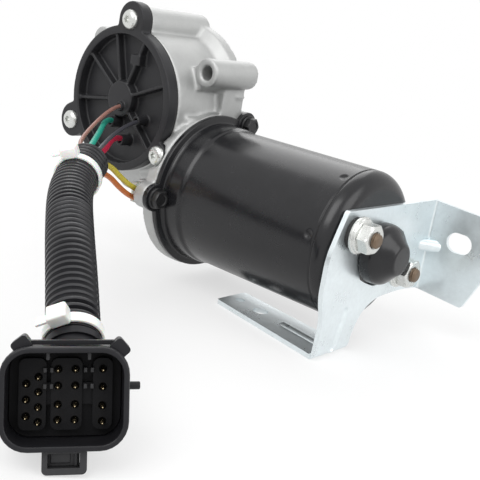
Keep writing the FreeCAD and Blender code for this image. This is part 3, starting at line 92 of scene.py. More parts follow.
@dataclass(frozen=True)
class Finish:
    """A surface finish, worked out from a piece's own coordinates.

    Spreads are shares of the colour or steps of roughness. The rows below give the fields in this order.
    """

    name: str
    colour: Triple
    roughness: float
    metallic: float = 0.0
    colour_spread: float = 0.12
    roughness_spread: float = 0.08
    patch_mm: float = 9.0
    grain_mm: float = 0.5
    grain_depth_mm: float = 0.01
    wave_mm: float = 0.0
    wave_depth_mm: float = 0.0
    grain: Grain = Grain.MOULDED
    stretch: Triple = (1.0, 1.0, 1.0)
    dust: float = 0.0
    coat: float = 0.0
    subsurface: float = 0.0
    transmission: float = 0.0
    specular: float = 0.5
    edge_mm: float = 0.0

    COAT_ROUGHNESS = 0.2
    SUBSURFACE_SCALE = 0.0015
    FINE_RATIO = 7
    FINE_SHARE = 0.35
    NOISE_RANGE = (0.3, 0.7)
    ROUGHNESS_RANGE = (0.03, 1.0)

    def material(self) -> bpy.types.Material:
        """Makes the finish's material once and gives the same one afterwards.

        Returns:
            The material.
        """
        made = bpy.data.materials.get(self.name)
        if made is not None:
            return made
        made = bpy.data.materials.new(self.name)
        made.use_nodes = True
        self._wire(Nodes(made.node_tree))
        return made

    def _wire(self, nodes: Nodes) -> None:
        """Sets the shader's own values and links the patterns for colour, roughness and relief.

        Args:
            nodes: the shader's nodes.
        """
        shader = nodes.tree.nodes["Principled BSDF"]
        plain = {"Metallic": self.metallic, "Coat Weight": self.coat, "Coat Roughness": self.COAT_ROUGHNESS,
                 "Transmission Weight": self.transmission, "Subsurface Weight": self.subsurface,
                 "Subsurface Scale": self.SUBSURFACE_SCALE, "Specular IOR Level": self.specular}
        for socket, value in plain.items():
            shader.inputs[socket].default_value = value
        stretched = nodes.add("ShaderNodeMapping")
        stretched.inputs["Scale"].default_value = self.stretch
        nodes.join(nodes.add("ShaderNodeTexCoord").outputs["Object"], stretched.inputs["Vector"])
        place = stretched.outputs[0]
        wide = nodes.noise(place, self.patch_mm, 4.0, 0.6)
        fine = nodes.noise(place, self.patch_mm / self.FINE_RATIO, 3.0, 0.55)
        mixed = nodes.blend_values(wide, fine, self.FINE_SHARE)
        shade = nodes.span(mixed, *self.NOISE_RANGE, 1 - self.colour_spread, 1 + self.colour_spread)
        colour = nodes.scaled_colour(self.colour, shade)
        if self.dust > 0:
            colour = nodes.dusted(colour, mixed, self.dust)
        nodes.join(colour, shader.inputs["Base Color"])
        levels = np.clip([self.roughness - self.roughness_spread, self.roughness + self.roughness_spread],
                         *self.ROUGHNESS_RANGE)
        nodes.join(nodes.span(mixed, *self.NOISE_RANGE, *levels), shader.inputs["Roughness"])
        nodes.join(self._relief(nodes, place), shader.inputs["Normal"])

    def _relief(self, nodes: Nodes, place: Socket) -> Socket:
        """Chains an eased edge, a long wave and a fine grain into one normal.

        Args:
            nodes: the shader's nodes.
            place: the points' places.

        Returns:
            The normal.
        """
        normal = None
        if self.edge_mm > 0:
            edge = nodes.add("ShaderNodeBevel")
            edge.samples = 4
            edge.inputs["Radius"].default_value = self.edge_mm * MM
            normal = edge.outputs[0]
        if self.wave_depth_mm > 0:
            normal = nodes.bump(nodes.noise(place, self.wave_mm, 2.0, 0.5), self.wave_depth_mm, normal)
        return nodes.bump(self._grain_height(nodes, place), self.grain_depth_mm, normal)

    def _grain_height(self, nodes: Nodes, place: Socket) -> Socket:
        """The fine relief's height, from 0 to 1, for this finish's kind of grain.

        Args:
            nodes: the shader's nodes.
            place: the points' places.

        Returns:
            The height.
        """
        if self.grain is Grain.BLASTED:
            cells = nodes.add("ShaderNodeTexVoronoi")
            cells.feature = "SMOOTH_F1"
            cells.inputs["Scale"].default_value = 1 / (self.grain_mm * MM)
            nodes.join(place, cells.inputs["Vector"])
            pits = nodes.noise(place, self.grain_mm * 2.2, 3.0, 0.6)
            return nodes.blend_values(cells.outputs["Distance"], pits, 0.6)
        if self.grain is Grain.TURNED:
            return nodes.noise(place, self.grain_mm, 1.0, 0.3)
        return nodes.noise(place, self.grain_mm, 5.0, 0.65)


class Nodes:
    """Adds and joins shader nodes in one tree."""

    def __init__(self, tree: bpy.types.NodeTree) -> None:
        """Keeps the tree that the nodes go in."""
        self.tree = tree

    def add(self, kind: str) -> bpy.types.Node:
        """Adds a node of a kind."""
        return self.tree.nodes.new(kind)

    def join(self, source: Socket, target: Socket) -> None:
        """Links an output to an input."""
        self.tree.links.new(source, target)

    def noise(self, place: Socket, size_mm: float, detail: float, roughness: float) -> Socket:
        """A noise pattern whose features are about a size across.

        Args:
            place: the points' places.
            size_mm: a feature's size.
            detail: how many finer layers are added.
            roughness: how strong each finer layer is.

        Returns:
            The pattern's value.
        """
        node = self.add("ShaderNodeTexNoise")
        node.inputs["Scale"].default_value = 1 / (size_mm * MM)
        node.inputs["Detail"].default_value = detail
        node.inputs["Roughness"].default_value = roughness
        self.join(place, node.inputs["Vector"])
        return node.outputs["Fac"]

    def span(self, value: Socket, low: float, high: float, start: float, end: float) -> Socket:
        """A value taken from one range to another and held at its ends.

        Args:
            value: the value.
            low: where its range starts.
            high: where its range ends.
            start: what the low end becomes.
            end: what the high end becomes.

        Returns:
            The new value.
        """
        node = self.add("ShaderNodeMapRange")
        for socket, number in (("From Min", low), ("From Max", high), ("To Min", start), ("To Max", end)):
            node.inputs[socket].default_value = number
        self.join(value, node.inputs["Value"])
        return node.outputs[0]

    def math(self, operation: str, *values: Socket | float) -> Socket:
        """One arithmetic step on outputs or numbers.

        Args:
            operation: the step's name.
            values: what it works on.

        Returns:
            The result.
        """
        node = self.add("ShaderNodeMath")
        node.operation = operation
        for socket, value in zip(node.inputs, values):
            if isinstance(value, (int, float)):
                socket.default_value = value
            else:
                self.join(value, socket)
        return node.outputs[0]

    def blend_values(self, first: Socket, second: Socket, share: float) -> Socket:
        """Two values mixed by a fixed share of the second."""
        kept = self.math("MULTIPLY", first, 1 - share)
        return self.math("MULTIPLY_ADD", second, share, kept)

    def scaled_colour(self, colour: Triple, shade: Socket) -> Socket:
        """A colour made lighter or darker by a value near 1.

        Args:
            colour: the colour.
            shade: what it is multiplied by.

        Returns:
            The new colour.
        """
        node = self.add("ShaderNodeVectorMath")
        node.operation = "SCALE"
        node.inputs[0].default_value = colour
        self.join(shade, node.inputs["Scale"])
        return node.outputs[0]

    def dusted(self, colour: Socket, patches: Socket, amount: float) -> Socket:
        """A colour with a thin grey film on what faces up.

        Args:
            colour: the clean colour.
            patches: the noise that the film follows.
            amount: the film's greatest share.

        Returns:
            The dusty colour.
        """
        split = self.add("ShaderNodeSeparateXYZ")
        self.join(self.add("ShaderNodeNewGeometry").outputs["Normal"], split.inputs[0])
        upward = self.span(split.outputs["Z"], 0.1, 1.0, 0.0, amount)
        mix = self.add("ShaderNodeMix")
        mix.data_type = "RGBA"
        self.join(self.math("MULTIPLY", upward, self.span(patches, 0.35, 0.65, 0.3, 1.0)), mix.inputs[0])
        self.join(colour, mix.inputs[6])
        mix.inputs[7].default_value = (0.30, 0.30, 0.31, 1.0)
        return mix.outputs[2]

    def bump(self, height: Socket, depth_mm: float, normal: Socket | None) -> Socket:
        """A relief of a depth, on top of an earlier normal if there is one.

        Args:
            height: the relief's height, from 0 to 1.
            depth_mm: the depth that 1 stands for.
            normal: the earlier normal.

        Returns:
            The new normal.
        """
        node = self.add("ShaderNodeBump")
        node.inputs["Strength"].default_value = 1.0
        node.inputs["Distance"].default_value = depth_mm * MM
        self.join(height, node.inputs["Height"])
        if normal is not None:
            self.join(normal, node.inputs["Normal"])
        return node.outputs[0]


CAST_ALUMINIUM = Finish("cast aluminium", (0.46, 0.465, 0.46), 0.55, 0.75, 0.08, 0.07, 6.0, 0.45, 0.05, 6.0, 0.1,
                        grain=Grain.BLASTED)
CAN_PAINT = Finish("satin black paint", (0.009, 0.009, 0.0105), 0.25, 0.0, 0.15, 0.05, 12.0, 0.9, 0.006, 11.0, 0.07,
                   dust=0.015, specular=0.42)
COVER_PLASTIC = Finish("filled black nylon", (0.017, 0.017, 0.019), 0.46, 0.0, 0.2, 0.07, 6.0, 0.5, 0.012, dust=0.03,
                       specular=0.32)
GASKET_RUBBER = Finish("gasket rubber", (0.02, 0.02, 0.02), 0.75, grain_mm=0.4, grain_depth_mm=0.02)
ZINC_PLATE = Finish("white zinc", (0.66, 0.67, 0.65), 0.28, 0.9, 0.1, 0.07, 2.5, 0.6, 0.004)
BRIGHT_ZINC = Finish("bright blue zinc", (0.77, 0.83, 0.85), 0.32, 0.78, 0.08, 0.08, 13.0, 2.5, 0.002, 16.0, 0.22)
STUD_ZINC = Finish("yellowed zinc", (0.17, 0.12, 0.08), 0.48, 0.4, 0.15, 0.08, 2.0, 0.4, 0.004, grain=Grain.TURNED)
LOOM_PLASTIC = Finish("corrugated black polyethylene", (0.015, 0.015, 0.0175), 0.38, 0.0, 0.15, 0.07, 8.0, 0.6, 0.008,
                      dust=0.03, specular=0.4)
CONNECTOR_PLASTIC = Finish("connector black plastic", (0.009, 0.009, 0.011), 0.36, 0.0, 0.12, 0.06, 6.0, 0.45, 0.008,
                           dust=0.015, specular=0.28, edge_mm=0.25)
INSERT_PLASTIC = Finish("insert grey plastic", (0.007, 0.007, 0.008), 0.5, 0.0, 0.12, 0.06, 5.0, 0.4, 0.008,
                        specular=0.12, edge_mm=0.2)
CLIP_PLASTIC = Finish("clip grey plastic", (0.028, 0.028, 0.03), 0.48, 0.0, 0.12, 0.06, 5.0, 0.5, 0.01, specular=0.35,
                      edge_mm=0.25)
WHITE_NYLON = Finish("natural white nylon", (0.88, 0.89, 0.86), 0.38, 0.0, 0.03, 0.05, 5.0, 0.5, 0.004, subsurface=0.3)
CLEAR_NYLON = Finish("translucent nylon", (0.62, 0.64, 0.58), 0.3, 0.0, 0.08, 0.06, 3.0, 0.6, 0.006, subsurface=0.2,
                     transmission=0.35, edge_mm=0.4)
PIN_METAL = Finish("contact brass", (0.78, 0.64, 0.4), 0.22, 1.0, 0.1, 0.06, 0.8, 0.3, 0.002, grain=Grain.TURNED)
STEEL = Finish("ground steel", (0.55, 0.55, 0.56), 0.3, 1.0, 0.08, 0.08, 4.0, 0.3, 0.003, grain=Grain.TURNED)
SHAFT_STEEL = Finish("machined steel", (0.46, 0.46, 0.47), 0.34, 1.0, 0.08, 0.08, 4.0, 0.35, 0.004, grain=Grain.TURNED)
BRONZE = Finish("sintered bronze", (0.45, 0.31, 0.16), 0.45, 1.0, 0.12, 0.08, 2.0, 0.25, 0.02, grain=Grain.BLASTED)
WHEEL_BRONZE = Finish("hobbed bronze", (0.62, 0.44, 0.22), 0.32, 1.0, 0.1, 0.08, 4.0, 0.4, 0.004, grain=Grain.TURNED)
RUBBER = Finish("seal rubber", (0.02, 0.02, 0.02), 0.6, grain_mm=0.3, grain_depth_mm=0.006)
CARRIER_PLASTIC = Finish("carrier plastic", (0.03, 0.03, 0.033), 0.5, grain_mm=0.4, grain_depth_mm=0.008)
BOARD = Finish("green laminate", (0.03, 0.14, 0.06), 0.4, grain_mm=0.3, grain_depth_mm=0.003, coat=0.4)
CORE_STEEL = Finish("core laminations", (0.32, 0.32, 0.33), 0.42, 1.0, 0.12, 0.1, 3.0, 0.5, 0.01, grain=Grain.TURNED,
                    stretch=(6.0, 1.0, 1.0))
COPPER = Finish("enamelled copper", (0.6, 0.25, 0.12), 0.35, 1.0, 0.12, 0.08, 1.5, 0.7, 0.03, grain=Grain.TURNED,
                stretch=(1.0, 4.0, 4.0))
FERRITE = Finish("sintered ferrite", (0.055, 0.055, 0.06), 0.62, 0.0, 0.12, 0.06, 3.0, 0.3, 0.02, grain=Grain.BLASTED)
CARBON = Finish("pressed carbon", (0.03, 0.03, 0.033), 0.55, 0.2, 0.12, 0.08, 2.0, 0.25, 0.015, grain=Grain.BLASTED)
BLACK_OXIDE = Finish("black oxide", (0.02, 0.02, 0.021), 0.38, 0.35, 0.15, 0.08, 3.0, 0.5, 0.006)


def wire_finish(name: str, colour: Triple) -> Finish:
    """A wire's jacket in a colour."""
    return Finish(name + " wire jacket", colour, 0.36, 0.0, 0.06, 0.06, 3.0, 0.5, 0.003)


# Surfaces worked out as whole arrays

@dataclass(frozen=True)
class Stand:
    """A local frame: points are given in it as along, across and up, in millimetres."""

    origin: Triple
    along: Triple
    across: Triple
    up: Triple

    def place(self, local: Array) -> Array:
        """Turns local points into the model's frame: the origin plus each part times its direction."""
        axes = np.array([self.along, self.across, self.up], float)
        return np.array(self.origin) + np.asarray(local, float) * MM @ axes

    def moved(self, along: float = 0.0, across: float = 0.0, up: float = 0.0) -> Stand:
        """The same directions at a point so many millimetres away."""
        return Stand(tuple(self.place([along, across, up])), self.along, self.across, self.up)

    def ring(self, pitch: float, degrees: tuple[float, ...]) -> list[Stand]:
        """A stand at each angle of a circle round this one's long axis."""
        return [self.moved(across=pitch * math.cos(angle), up=pitch * math.sin(angle)) for angle in np.radians(degrees)]


MOTOR_STAND = Stand((0.0, -14.0 * MM, -35.2 * MM), (1, 0, 0), (0, 1, 0), (0, 0, 1))
OUTPUT_STAND = Stand((0.0, 0.0, 0.0), (0, -1, 0), (1, 0, 0), (0, 0, 1))


@dataclass(frozen=True)
class Patch:
    """A surface given as rows of points in the model's frame, each row closed on itself.

    The last row is joined to the first if the rows wrap, and each end has a flat face if the patch is capped.
    """

    points: Array
    wrap_rows: bool = False
    capped: bool = False

    def faces(self, start: int) -> list[list[int]]:
        """The patch's faces, numbered from a first vertex and turned to point outwards.

        Args:
            start: the first vertex's number.

        Returns:
            Each face's vertex numbers.
        """
        rows, columns = self.points.shape[:2]
        row = np.arange(rows if self.wrap_rows else rows - 1)[:, None]
        column = np.arange(columns)[None, :]
        next_row = (row + 1) % rows
        next_column = (column + 1) % columns
        quads = np.stack([row * columns + column, row * columns + next_column,
                          next_row * columns + next_column, next_row * columns + column], -1).reshape(-1, 4)
        caps = [np.arange(columns)[::-1], (rows - 1) * columns + np.arange(columns)]
        if self._inside_out(quads):
            quads = quads[:, ::-1]
            caps = [cap[::-1] for cap in caps]
        found = (quads + start).tolist()
        if self.capped:
            found += [(cap + start).tolist() for cap in caps]
        return found

    def _inside_out(self, quads: Array) -> bool:
        """True if the volume that the quads close, with flat caps added, comes out negative.

        Args:
            quads: each face's vertex numbers.

        Returns:
            Whether the faces point inwards.
        """
        centred = self.points - self.points.reshape(-1, 3).mean(0)
        a, b, c, d = (centred.reshape(-1, 3)[quads[:, k]] for k in range(4))
        volume = np.einsum("ij,ij->", np.cross(a, b), c) + np.einsum("ij,ij->", np.cross(a, c), d)
        if not self.wrap_rows:
            for ring, sign in ((centred[0], -1), (centred[-1], 1)):
                volume += sign * np.einsum("ij,j->", np.cross(ring, np.roll(ring, -1, 0)), ring.mean(0))
        return bool(volume < 0)


def around(steps: int) -> Array:
    """Even angles round a whole turn."""
    return np.linspace(0, 2 * np.pi, steps, endpoint=False)


def turn_past(angle: Array, other: Array | float) -> Array:
    """How far an angle is past another, within half a turn either way."""
    return (angle - other + np.pi) % (2 * np.pi) - np.pi


def unit(vector: Array | Triple) -> Array:
    """A vector, or each row of vectors, at a length of one."""
    return np.asarray(vector, float) / np.linalg.norm(vector, axis=-1, keepdims=True)


def rotation(axis: int, degrees: float) -> Array:
    """The matrix of a turn about X, Y or Z, given as 0, 1 or 2.

    Args:
        axis: 0, 1 or 2.
        degrees: how far it turns.

    Returns:
        The matrix.
    """
    cosine, sine = math.cos(math.radians(degrees)), math.sin(math.radians(degrees))
    first, second = (axis + 1) % 3, (axis + 2) % 3
    turn = np.eye(3)
    turn[first, first] = turn[second, second] = cosine
    turn[first, second], turn[second, first] = -sine, sine
    return turn


def length_of(line: Array) -> float:
    """The length of a line of points."""
    return float(np.linalg.norm(np.diff(line, axis=0), axis=1).sum())


def rounded_line(corners: list[Pair], radii: list[float] | float, steps: int = 6,
                 closed: bool = False) -> Array:
    """A line with its corners eased.

    Each corner is a short curve that starts and ends a reach away from it: start times (1-u) squared, plus the corner
    times 2u(1-u), plus the end times u squared.

    Args:
        corners: the line's corners.
        radii: how far each corner's curve reaches along its sides.
        steps: points on each curve.
        closed: whether the last corner joins the first.

    Returns:
        The points as rows of two numbers.
    """
    points = np.array(corners, float)
    reach = np.broadcast_to(np.array(radii, float), (len(points),)).copy()
    before = np.roll(points, 1, 0) - points
    after = np.roll(points, -1, 0) - points
    if not closed:
        reach[[0, -1]] = 0.0
        before[0] = after[0]
        after[-1] = before[-1]
    length_before = np.linalg.norm(before, axis=1, keepdims=True)
    length_after = np.linalg.norm(after, axis=1, keepdims=True)
    held = np.minimum(reach[:, None], 0.49 * np.minimum(length_before, length_after))
    start = (points + before / length_before * held)[:, None]
    end = (points + after / length_after * held)[:, None]
    u = np.linspace(0, 1, steps)[None, :, None]
    curve = (start * (1 - u) ** 2 + points[:, None] * 2 * u * (1 - u) + end * u ** 2).reshape(-1, 2)
    apart = np.linalg.norm(curve - np.roll(curve, 1, 0), axis=1) > 1e-9
    apart[0] = True
    return curve[apart]


def turned(stand: Stand, profile: Array, steps: int = 96, radius_at: Array | None = None) -> Array:
    """A profile of (along, radius) turned about a stand's long axis.

    Args:
        stand: the frame whose long axis is turned about.
        profile: rows of (along, radius).
        steps: points round the axis.
        radius_at: radii given for each row and step, in place of the profile's.

    Returns:
        A grid of points: across is the radius times the angle's cosine, up the radius times its sine.
    """
    angle = around(steps)[None, :]
    radius = profile[:, 1:2] * np.ones_like(angle) if radius_at is None else radius_at
    along = profile[:, 0:1] * np.ones_like(angle)
    return stand.place(np.stack([along, radius * np.cos(angle), radius * np.sin(angle)], -1))


def rounded_outline(width: float, height: float, radius: float, steps: int = 8) -> Array:
    """A rectangle with round corners, as rows of (across, up): corner centres plus quarter circles.

    Args:
        width: its size across.
        height: its size upwards.
        radius: the corners' radius.
        steps: points on each corner.

    Returns:
        The points.
    """
    radius = min(radius, 0.499 * width, 0.499 * height)
    quarter = np.linspace(0, np.pi / 2, steps)[None, :]
    turn = np.arange(4)[:, None] * np.pi / 2
    sign_across = np.array([1, -1, -1, 1])[:, None]
    sign_up = np.array([1, 1, -1, -1])[:, None]
    across = sign_across * (width / 2 - radius) + radius * np.cos(turn + quarter)
    up = sign_up * (height / 2 - radius) + radius * np.sin(turn + quarter)
    return np.stack([across, up], -1).reshape(-1, 2)


def stacked(stand: Stand, places: Array, rings: Array) -> Patch:
    """A closed patch of rings of (across, up), each at its own place along a stand."""
    along = np.broadcast_to(places[:, None, None], rings.shape[:2] + (1,))
    return Patch(stand.place(np.concatenate([along, rings], -1)), capped=True)


def eased_block(stand: Stand, size: Triple, corner: float, edge: float, steps: int = 4) -> Patch:
    """A block with round corners and eased end edges, centred on a stand; its size is along, across and up.

    The outline is drawn in by the edge's radius times (1 - sine) while it moves along by the radius times
    (1 - cosine), at both ends.

    Args:
        stand: its centre and directions.
        size: its length, width and height.
        corner: the radius of its long corners.
        edge: the radius of its end edges.
        steps: rings in each end edge.

    Returns:
        The block.
    """
    length, width, height = size
    phi = np.linspace(0, np.pi / 2, steps)
    shift = edge * (1 - np.cos(phi))
    places = np.concatenate([-length / 2 + shift, length / 2 - shift[::-1]])
    share = 1 - np.sin(np.concatenate([phi, phi[::-1]]))[:, None, None]
    inner = rounded_outline(width - 2 * edge, height - 2 * edge, max(corner - edge, 0.1 * edge))
    return stacked(stand, places, rounded_outline(width, height, corner) * (1 - share) + inner * share)


def carried(path: Array, radii: Array) -> Array:
    """Rings carried along a path, each across its direction, with a radius for each point and side.

    Args:
        path: the points followed.
        radii: a radius for each point and side.

    Returns:
        A grid of points, a row for each point of the path.
    """
    across, up = side_directions(path)
    angle = around(radii.shape[1])
    turn = np.cos(angle)[None, :, None] * across[:, None] + np.sin(angle)[None, :, None] * up[:, None]
    return path[:, None] + radii[..., None] * turn


def side_directions(path: Array) -> tuple[Array, Array]:
    """The two directions across a path at each of its points: one level, one upright.

    Args:
        path: the points followed.

    Returns:
        The level and the upright direction.
    """
    direction = unit(np.gradient(path, axis=0))
    across = unit(np.cross(direction, UP))
    return across, np.cross(across, direction)


def hexagon_radius(angle: Array, flats: float) -> Array:
    """The distance to a hexagon's side at each angle: half the width over flats over the cosine from the flat."""
    return flats / 2 / np.cos((angle % (np.pi / 3)) - np.pi / 6)


# Pieces

class Bench:
    """Makes pieces of the object: gives them their finish, body and the node they stand for."""

    def __init__(self, frame: dict) -> None:
        """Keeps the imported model."""
        self.frame = frame

    def piece(self, name: str, patches: list[Patch], finish: Finish, nodes: tuple[str, ...] = (),
              sharp: float = 35.0) -> Piece:
        """Joins patches into one piece.

        Args:
            name: the piece's name.
            patches: its surfaces.
            finish: its finish.
            nodes: the nodes that it stands for.
            sharp: edges above this angle, in degrees, stay sharp.

        Returns:
            The finished object.
        """
        starts = np.cumsum([0] + [patch.points.shape[0] * patch.points.shape[1] for patch in patches])
        points = np.concatenate([patch.points.reshape(-1, 3) for patch in patches])
        faces = [face for patch, start in zip(patches, starts) for face in patch.faces(int(start))]
        mesh = bpy.data.meshes.new(name)
        mesh.from_pydata(points.tolist(), [], faces)
        weld(mesh)
        return self.dress(bpy.data.objects.new(name, mesh), finish, nodes, sharp)

    def dress(self, piece: Piece, finish: Finish, nodes: tuple[str, ...] = (), sharp: float = 35.0) -> Piece:
        """Links a piece, gives it its finish and puts it on the case in place of its nodes.

        Args:
            piece: the piece.
            finish: its finish.
            nodes: the nodes that it stands for.
            sharp: edges above this angle, in degrees, stay sharp.

        Returns:
            The same piece.
        """
        link(piece)
        if piece.type == "MESH":
            piece.data.shade_smooth()
            piece.data.set_sharp_from_angle(angle=math.radians(sharp))
        paint(piece.data, finish)
        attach(piece, CASE)
        if nodes:
            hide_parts(*nodes)
        LOG.info("%s made", piece.name)
        return piece

    def softened(self, node: str, finish: Finish, voxel_mm: float, passes: int) -> Piece:
        """A copy of a node with the round edges of a casting: remade in small cells, then relaxed.

        Args:
            node: the node copied.
            finish: the copy's finish.
            voxel_mm: the cells' size.
            passes: how often the surface is relaxed.

        Returns:
            The finished copy.
        """
        mesh = self.frame["nodes"][node].data.copy()
        weld(mesh)
        piece = link(bpy.data.objects.new(node + "_look", mesh))
        cells = piece.modifiers.new("cells", "REMESH")
        cells.mode = "VOXEL"
        cells.voxel_size = voxel_mm * MM
        cells.use_smooth_shade = True
        relaxed = piece.modifiers.new("relaxed", "SMOOTH")
        relaxed.factor = 0.5
        relaxed.iterations = passes
        bpy.context.view_layer.update()
        graph = bpy.context.evaluated_depsgraph_get()
        settled = bpy.data.meshes.new_from_object(piece.evaluated_get(graph))
        piece.modifiers.clear()
        piece.data = settled
        return self.dress(piece, finish, (node,), 60.0)

    def finish_node(self, node: str, finish: Finish) -> None:
        """Gives a node that stays its finish."""
        paint(self.frame["nodes"][node].data, finish)


def link(piece: Piece) -> Piece:
    """Puts an object in the scene if it isn't there yet.

    Args:
        piece: the object.

    Returns:
        The same object.
    """
    held = bpy.context.scene.collection.objects
    if piece.name not in held:
        held.link(piece)
    return piece


def paint(data: bpy.types.Mesh | bpy.types.Curve, finish: Finish) -> None:
    """Gives a mesh or a curve one finish."""
    data.materials.clear()
    data.materials.append(finish.material())


def weld(mesh: bpy.types.Mesh) -> None:
    """Merges a mesh's points that lie on each other.

    Args:
        mesh: the mesh.
    """
    work = bmesh.new()
    work.from_mesh(mesh)
    bmesh.ops.remove_doubles(work, verts=work.verts, dist=1e-6)
    work.to_mesh(mesh)
    work.free()


# Camera, floor and light

def stood(place: Triple, side: Array, back: Array) -> Matrix:
    """The matrix of something at a place, with its own X along side and its own Z along back.

    Args:
        place: where it stands.
        side: its own X.
        back: its own Z.

    Returns:
        The matrix.
    """
    axes = np.eye(4)
    axes[:3, 0], axes[:3, 1], axes[:3, 2], axes[:3, 3] = side, np.cross(back, side), back, place
    return Matrix(axes.tolist())


@dataclass
class Studio:
    """The camera at the photograph's angle, the floor, the lamps and the world."""

    camera_place: Triple = (0.28793, -0.29861, 0.04976)
    down: Triple = (0.294, -0.0971, -0.9509)
    forward: Triple = (-0.6092, 0.7475, -0.2647)
    lens: float = 62.83
    shift: Pair = (0.0107, -0.0088)
    middle: Triple = (0.07, -0.05, -0.03)
    floor_z: float = -76.7 * MM
    floor_gap: float = 0.2 * MM
    floor_reach: float = 6.0
    background: float = 1.0
    ambient: float = 0.62
    near_glow: float = 0.62
    shadow_reach: Pair = (0.16, 0.5)

    def set_camera(self) -> None:
        """Puts the camera in place, with its picture's right, up and back directions as its axes."""
        data = bpy.data.cameras.new("camera")
        data.lens = self.lens
        data.sensor_width = 36.0
        data.shift_x, data.shift_y = self.shift
        data.clip_start = 0.01
        camera = link(bpy.data.objects.new("camera", data))
        back = -unit(self.forward)
        camera.matrix_world = stood(self.camera_place, unit(np.cross(-np.array(self.down), back)), back)
        bpy.context.scene.camera = camera

    def light(self) -> None:
        """Makes the world, the floor and the lamps."""
        bpy.context.scene.view_settings.view_transform = "Standard"
        self._world()
        self._floor()
        self._lamp("key", (0.15, -0.9, 0.95), 0.9, 9.0)
        self._lamp("side", (1.0, 0.05, 0.55), 0.7, 3.5)
        self._lamp("back", (-0.55, 0.55, 0.75), 0.9, 4.0)

    def _seen(self, nodes: Nodes) -> Socket:
        """One for rays from the camera, off gloss or through glass, and nothing for the rest.

        Args:
            nodes: the shader's nodes.

        Returns:
            The value.
        """
        path = nodes.add("ShaderNodeLightPath").outputs
        return nodes.math("MAXIMUM", nodes.math("MAXIMUM", path["Is Camera Ray"], path["Is Glossy Ray"]),
                          path["Is Transmission Ray"])

    def _world(self) -> None:
        """A plain world: the background's level where it is seen, and the ambient level elsewhere."""
        world = bpy.data.worlds.new("studio")
        bpy.context.scene.world = world
        world.use_nodes = True
        nodes = Nodes(world.node_tree)
        level = nodes.span(self._seen(nodes), 0.0, 1.0, self.ambient, self.background)
        nodes.join(level, world.node_tree.nodes["Background"].inputs["Strength"])
        world.node_tree.nodes["Background"].inputs["Color"].default_value = (1.0, 1.0, 1.0, 1.0)

    def _floor(self) -> None:
        """A wide pale floor that keeps the object's shadow and glows more the farther it is from the object."""
        corners = np.array([[-1, -1, 0], [1, -1, 0], [1, 1, 0], [-1, 1, 0]]) * self.floor_reach
        mesh = bpy.data.meshes.new("floor")
        mesh.from_pydata((corners + [0, 0, self.floor_z - self.floor_gap]).tolist(), [], [[0, 1, 2, 3]])
        floor = link(bpy.data.objects.new("floor", mesh))
        made = bpy.data.materials.new("pale floor")
        made.use_nodes = True
        nodes = Nodes(made.node_tree)
        shader = made.node_tree.nodes["Principled BSDF"]
        shader.inputs["Base Color"].default_value = (0.9, 0.9, 0.9, 1.0)
        shader.inputs["Roughness"].default_value = 0.9
        shader.inputs["Specular IOR Level"].default_value = 0.1
        glow = nodes.add("ShaderNodeEmission")
        glow.inputs["Strength"].default_value = 1.0
        mix = nodes.add("ShaderNodeMixShader")
        place = nodes.add("ShaderNodeTexCoord").outputs["Object"]
        distance = nodes.add("ShaderNodeVectorMath")
        distance.operation = "DISTANCE"
        distance.inputs[1].default_value = (*self.middle[:2], self.floor_z)
        nodes.join(place, distance.inputs[0])
        level = nodes.span(distance.outputs["Value"], *self.shadow_reach, self.near_glow, 1.0)
        nodes.join(nodes.math("MULTIPLY", self._seen(nodes), level), mix.inputs[0])
        nodes.join(shader.outputs[0], mix.inputs[1])
        nodes.join(glow.outputs[0], mix.inputs[2])
        nodes.join(mix.outputs[0], made.node_tree.nodes["Material Output"].inputs["Surface"])
        mesh.materials.append(made)

    def _lamp(self, name: str, place: Triple, size: float, power: float) -> None:
        """A square soft lamp that faces the object's middle.

        Args:
            name: its name.
            place: where it stands.
            size: its side.
            power: its power in watts.
        """
        data = bpy.data.lights.new(name, "AREA")
        data.size = size
        data.energy = power
        lamp = link(bpy.data.objects.new(name, data))
        back = unit(np.array(place) - self.middle)
        lamp.matrix_world = stood(place, unit(np.cross(UP, back)), back)


# Harness

class Cord(Enum):
    """The harness's cords, each with its diameter in millimetres."""

    LOOM = 16.5
    THIN = 1.7
    THICK = 2.4


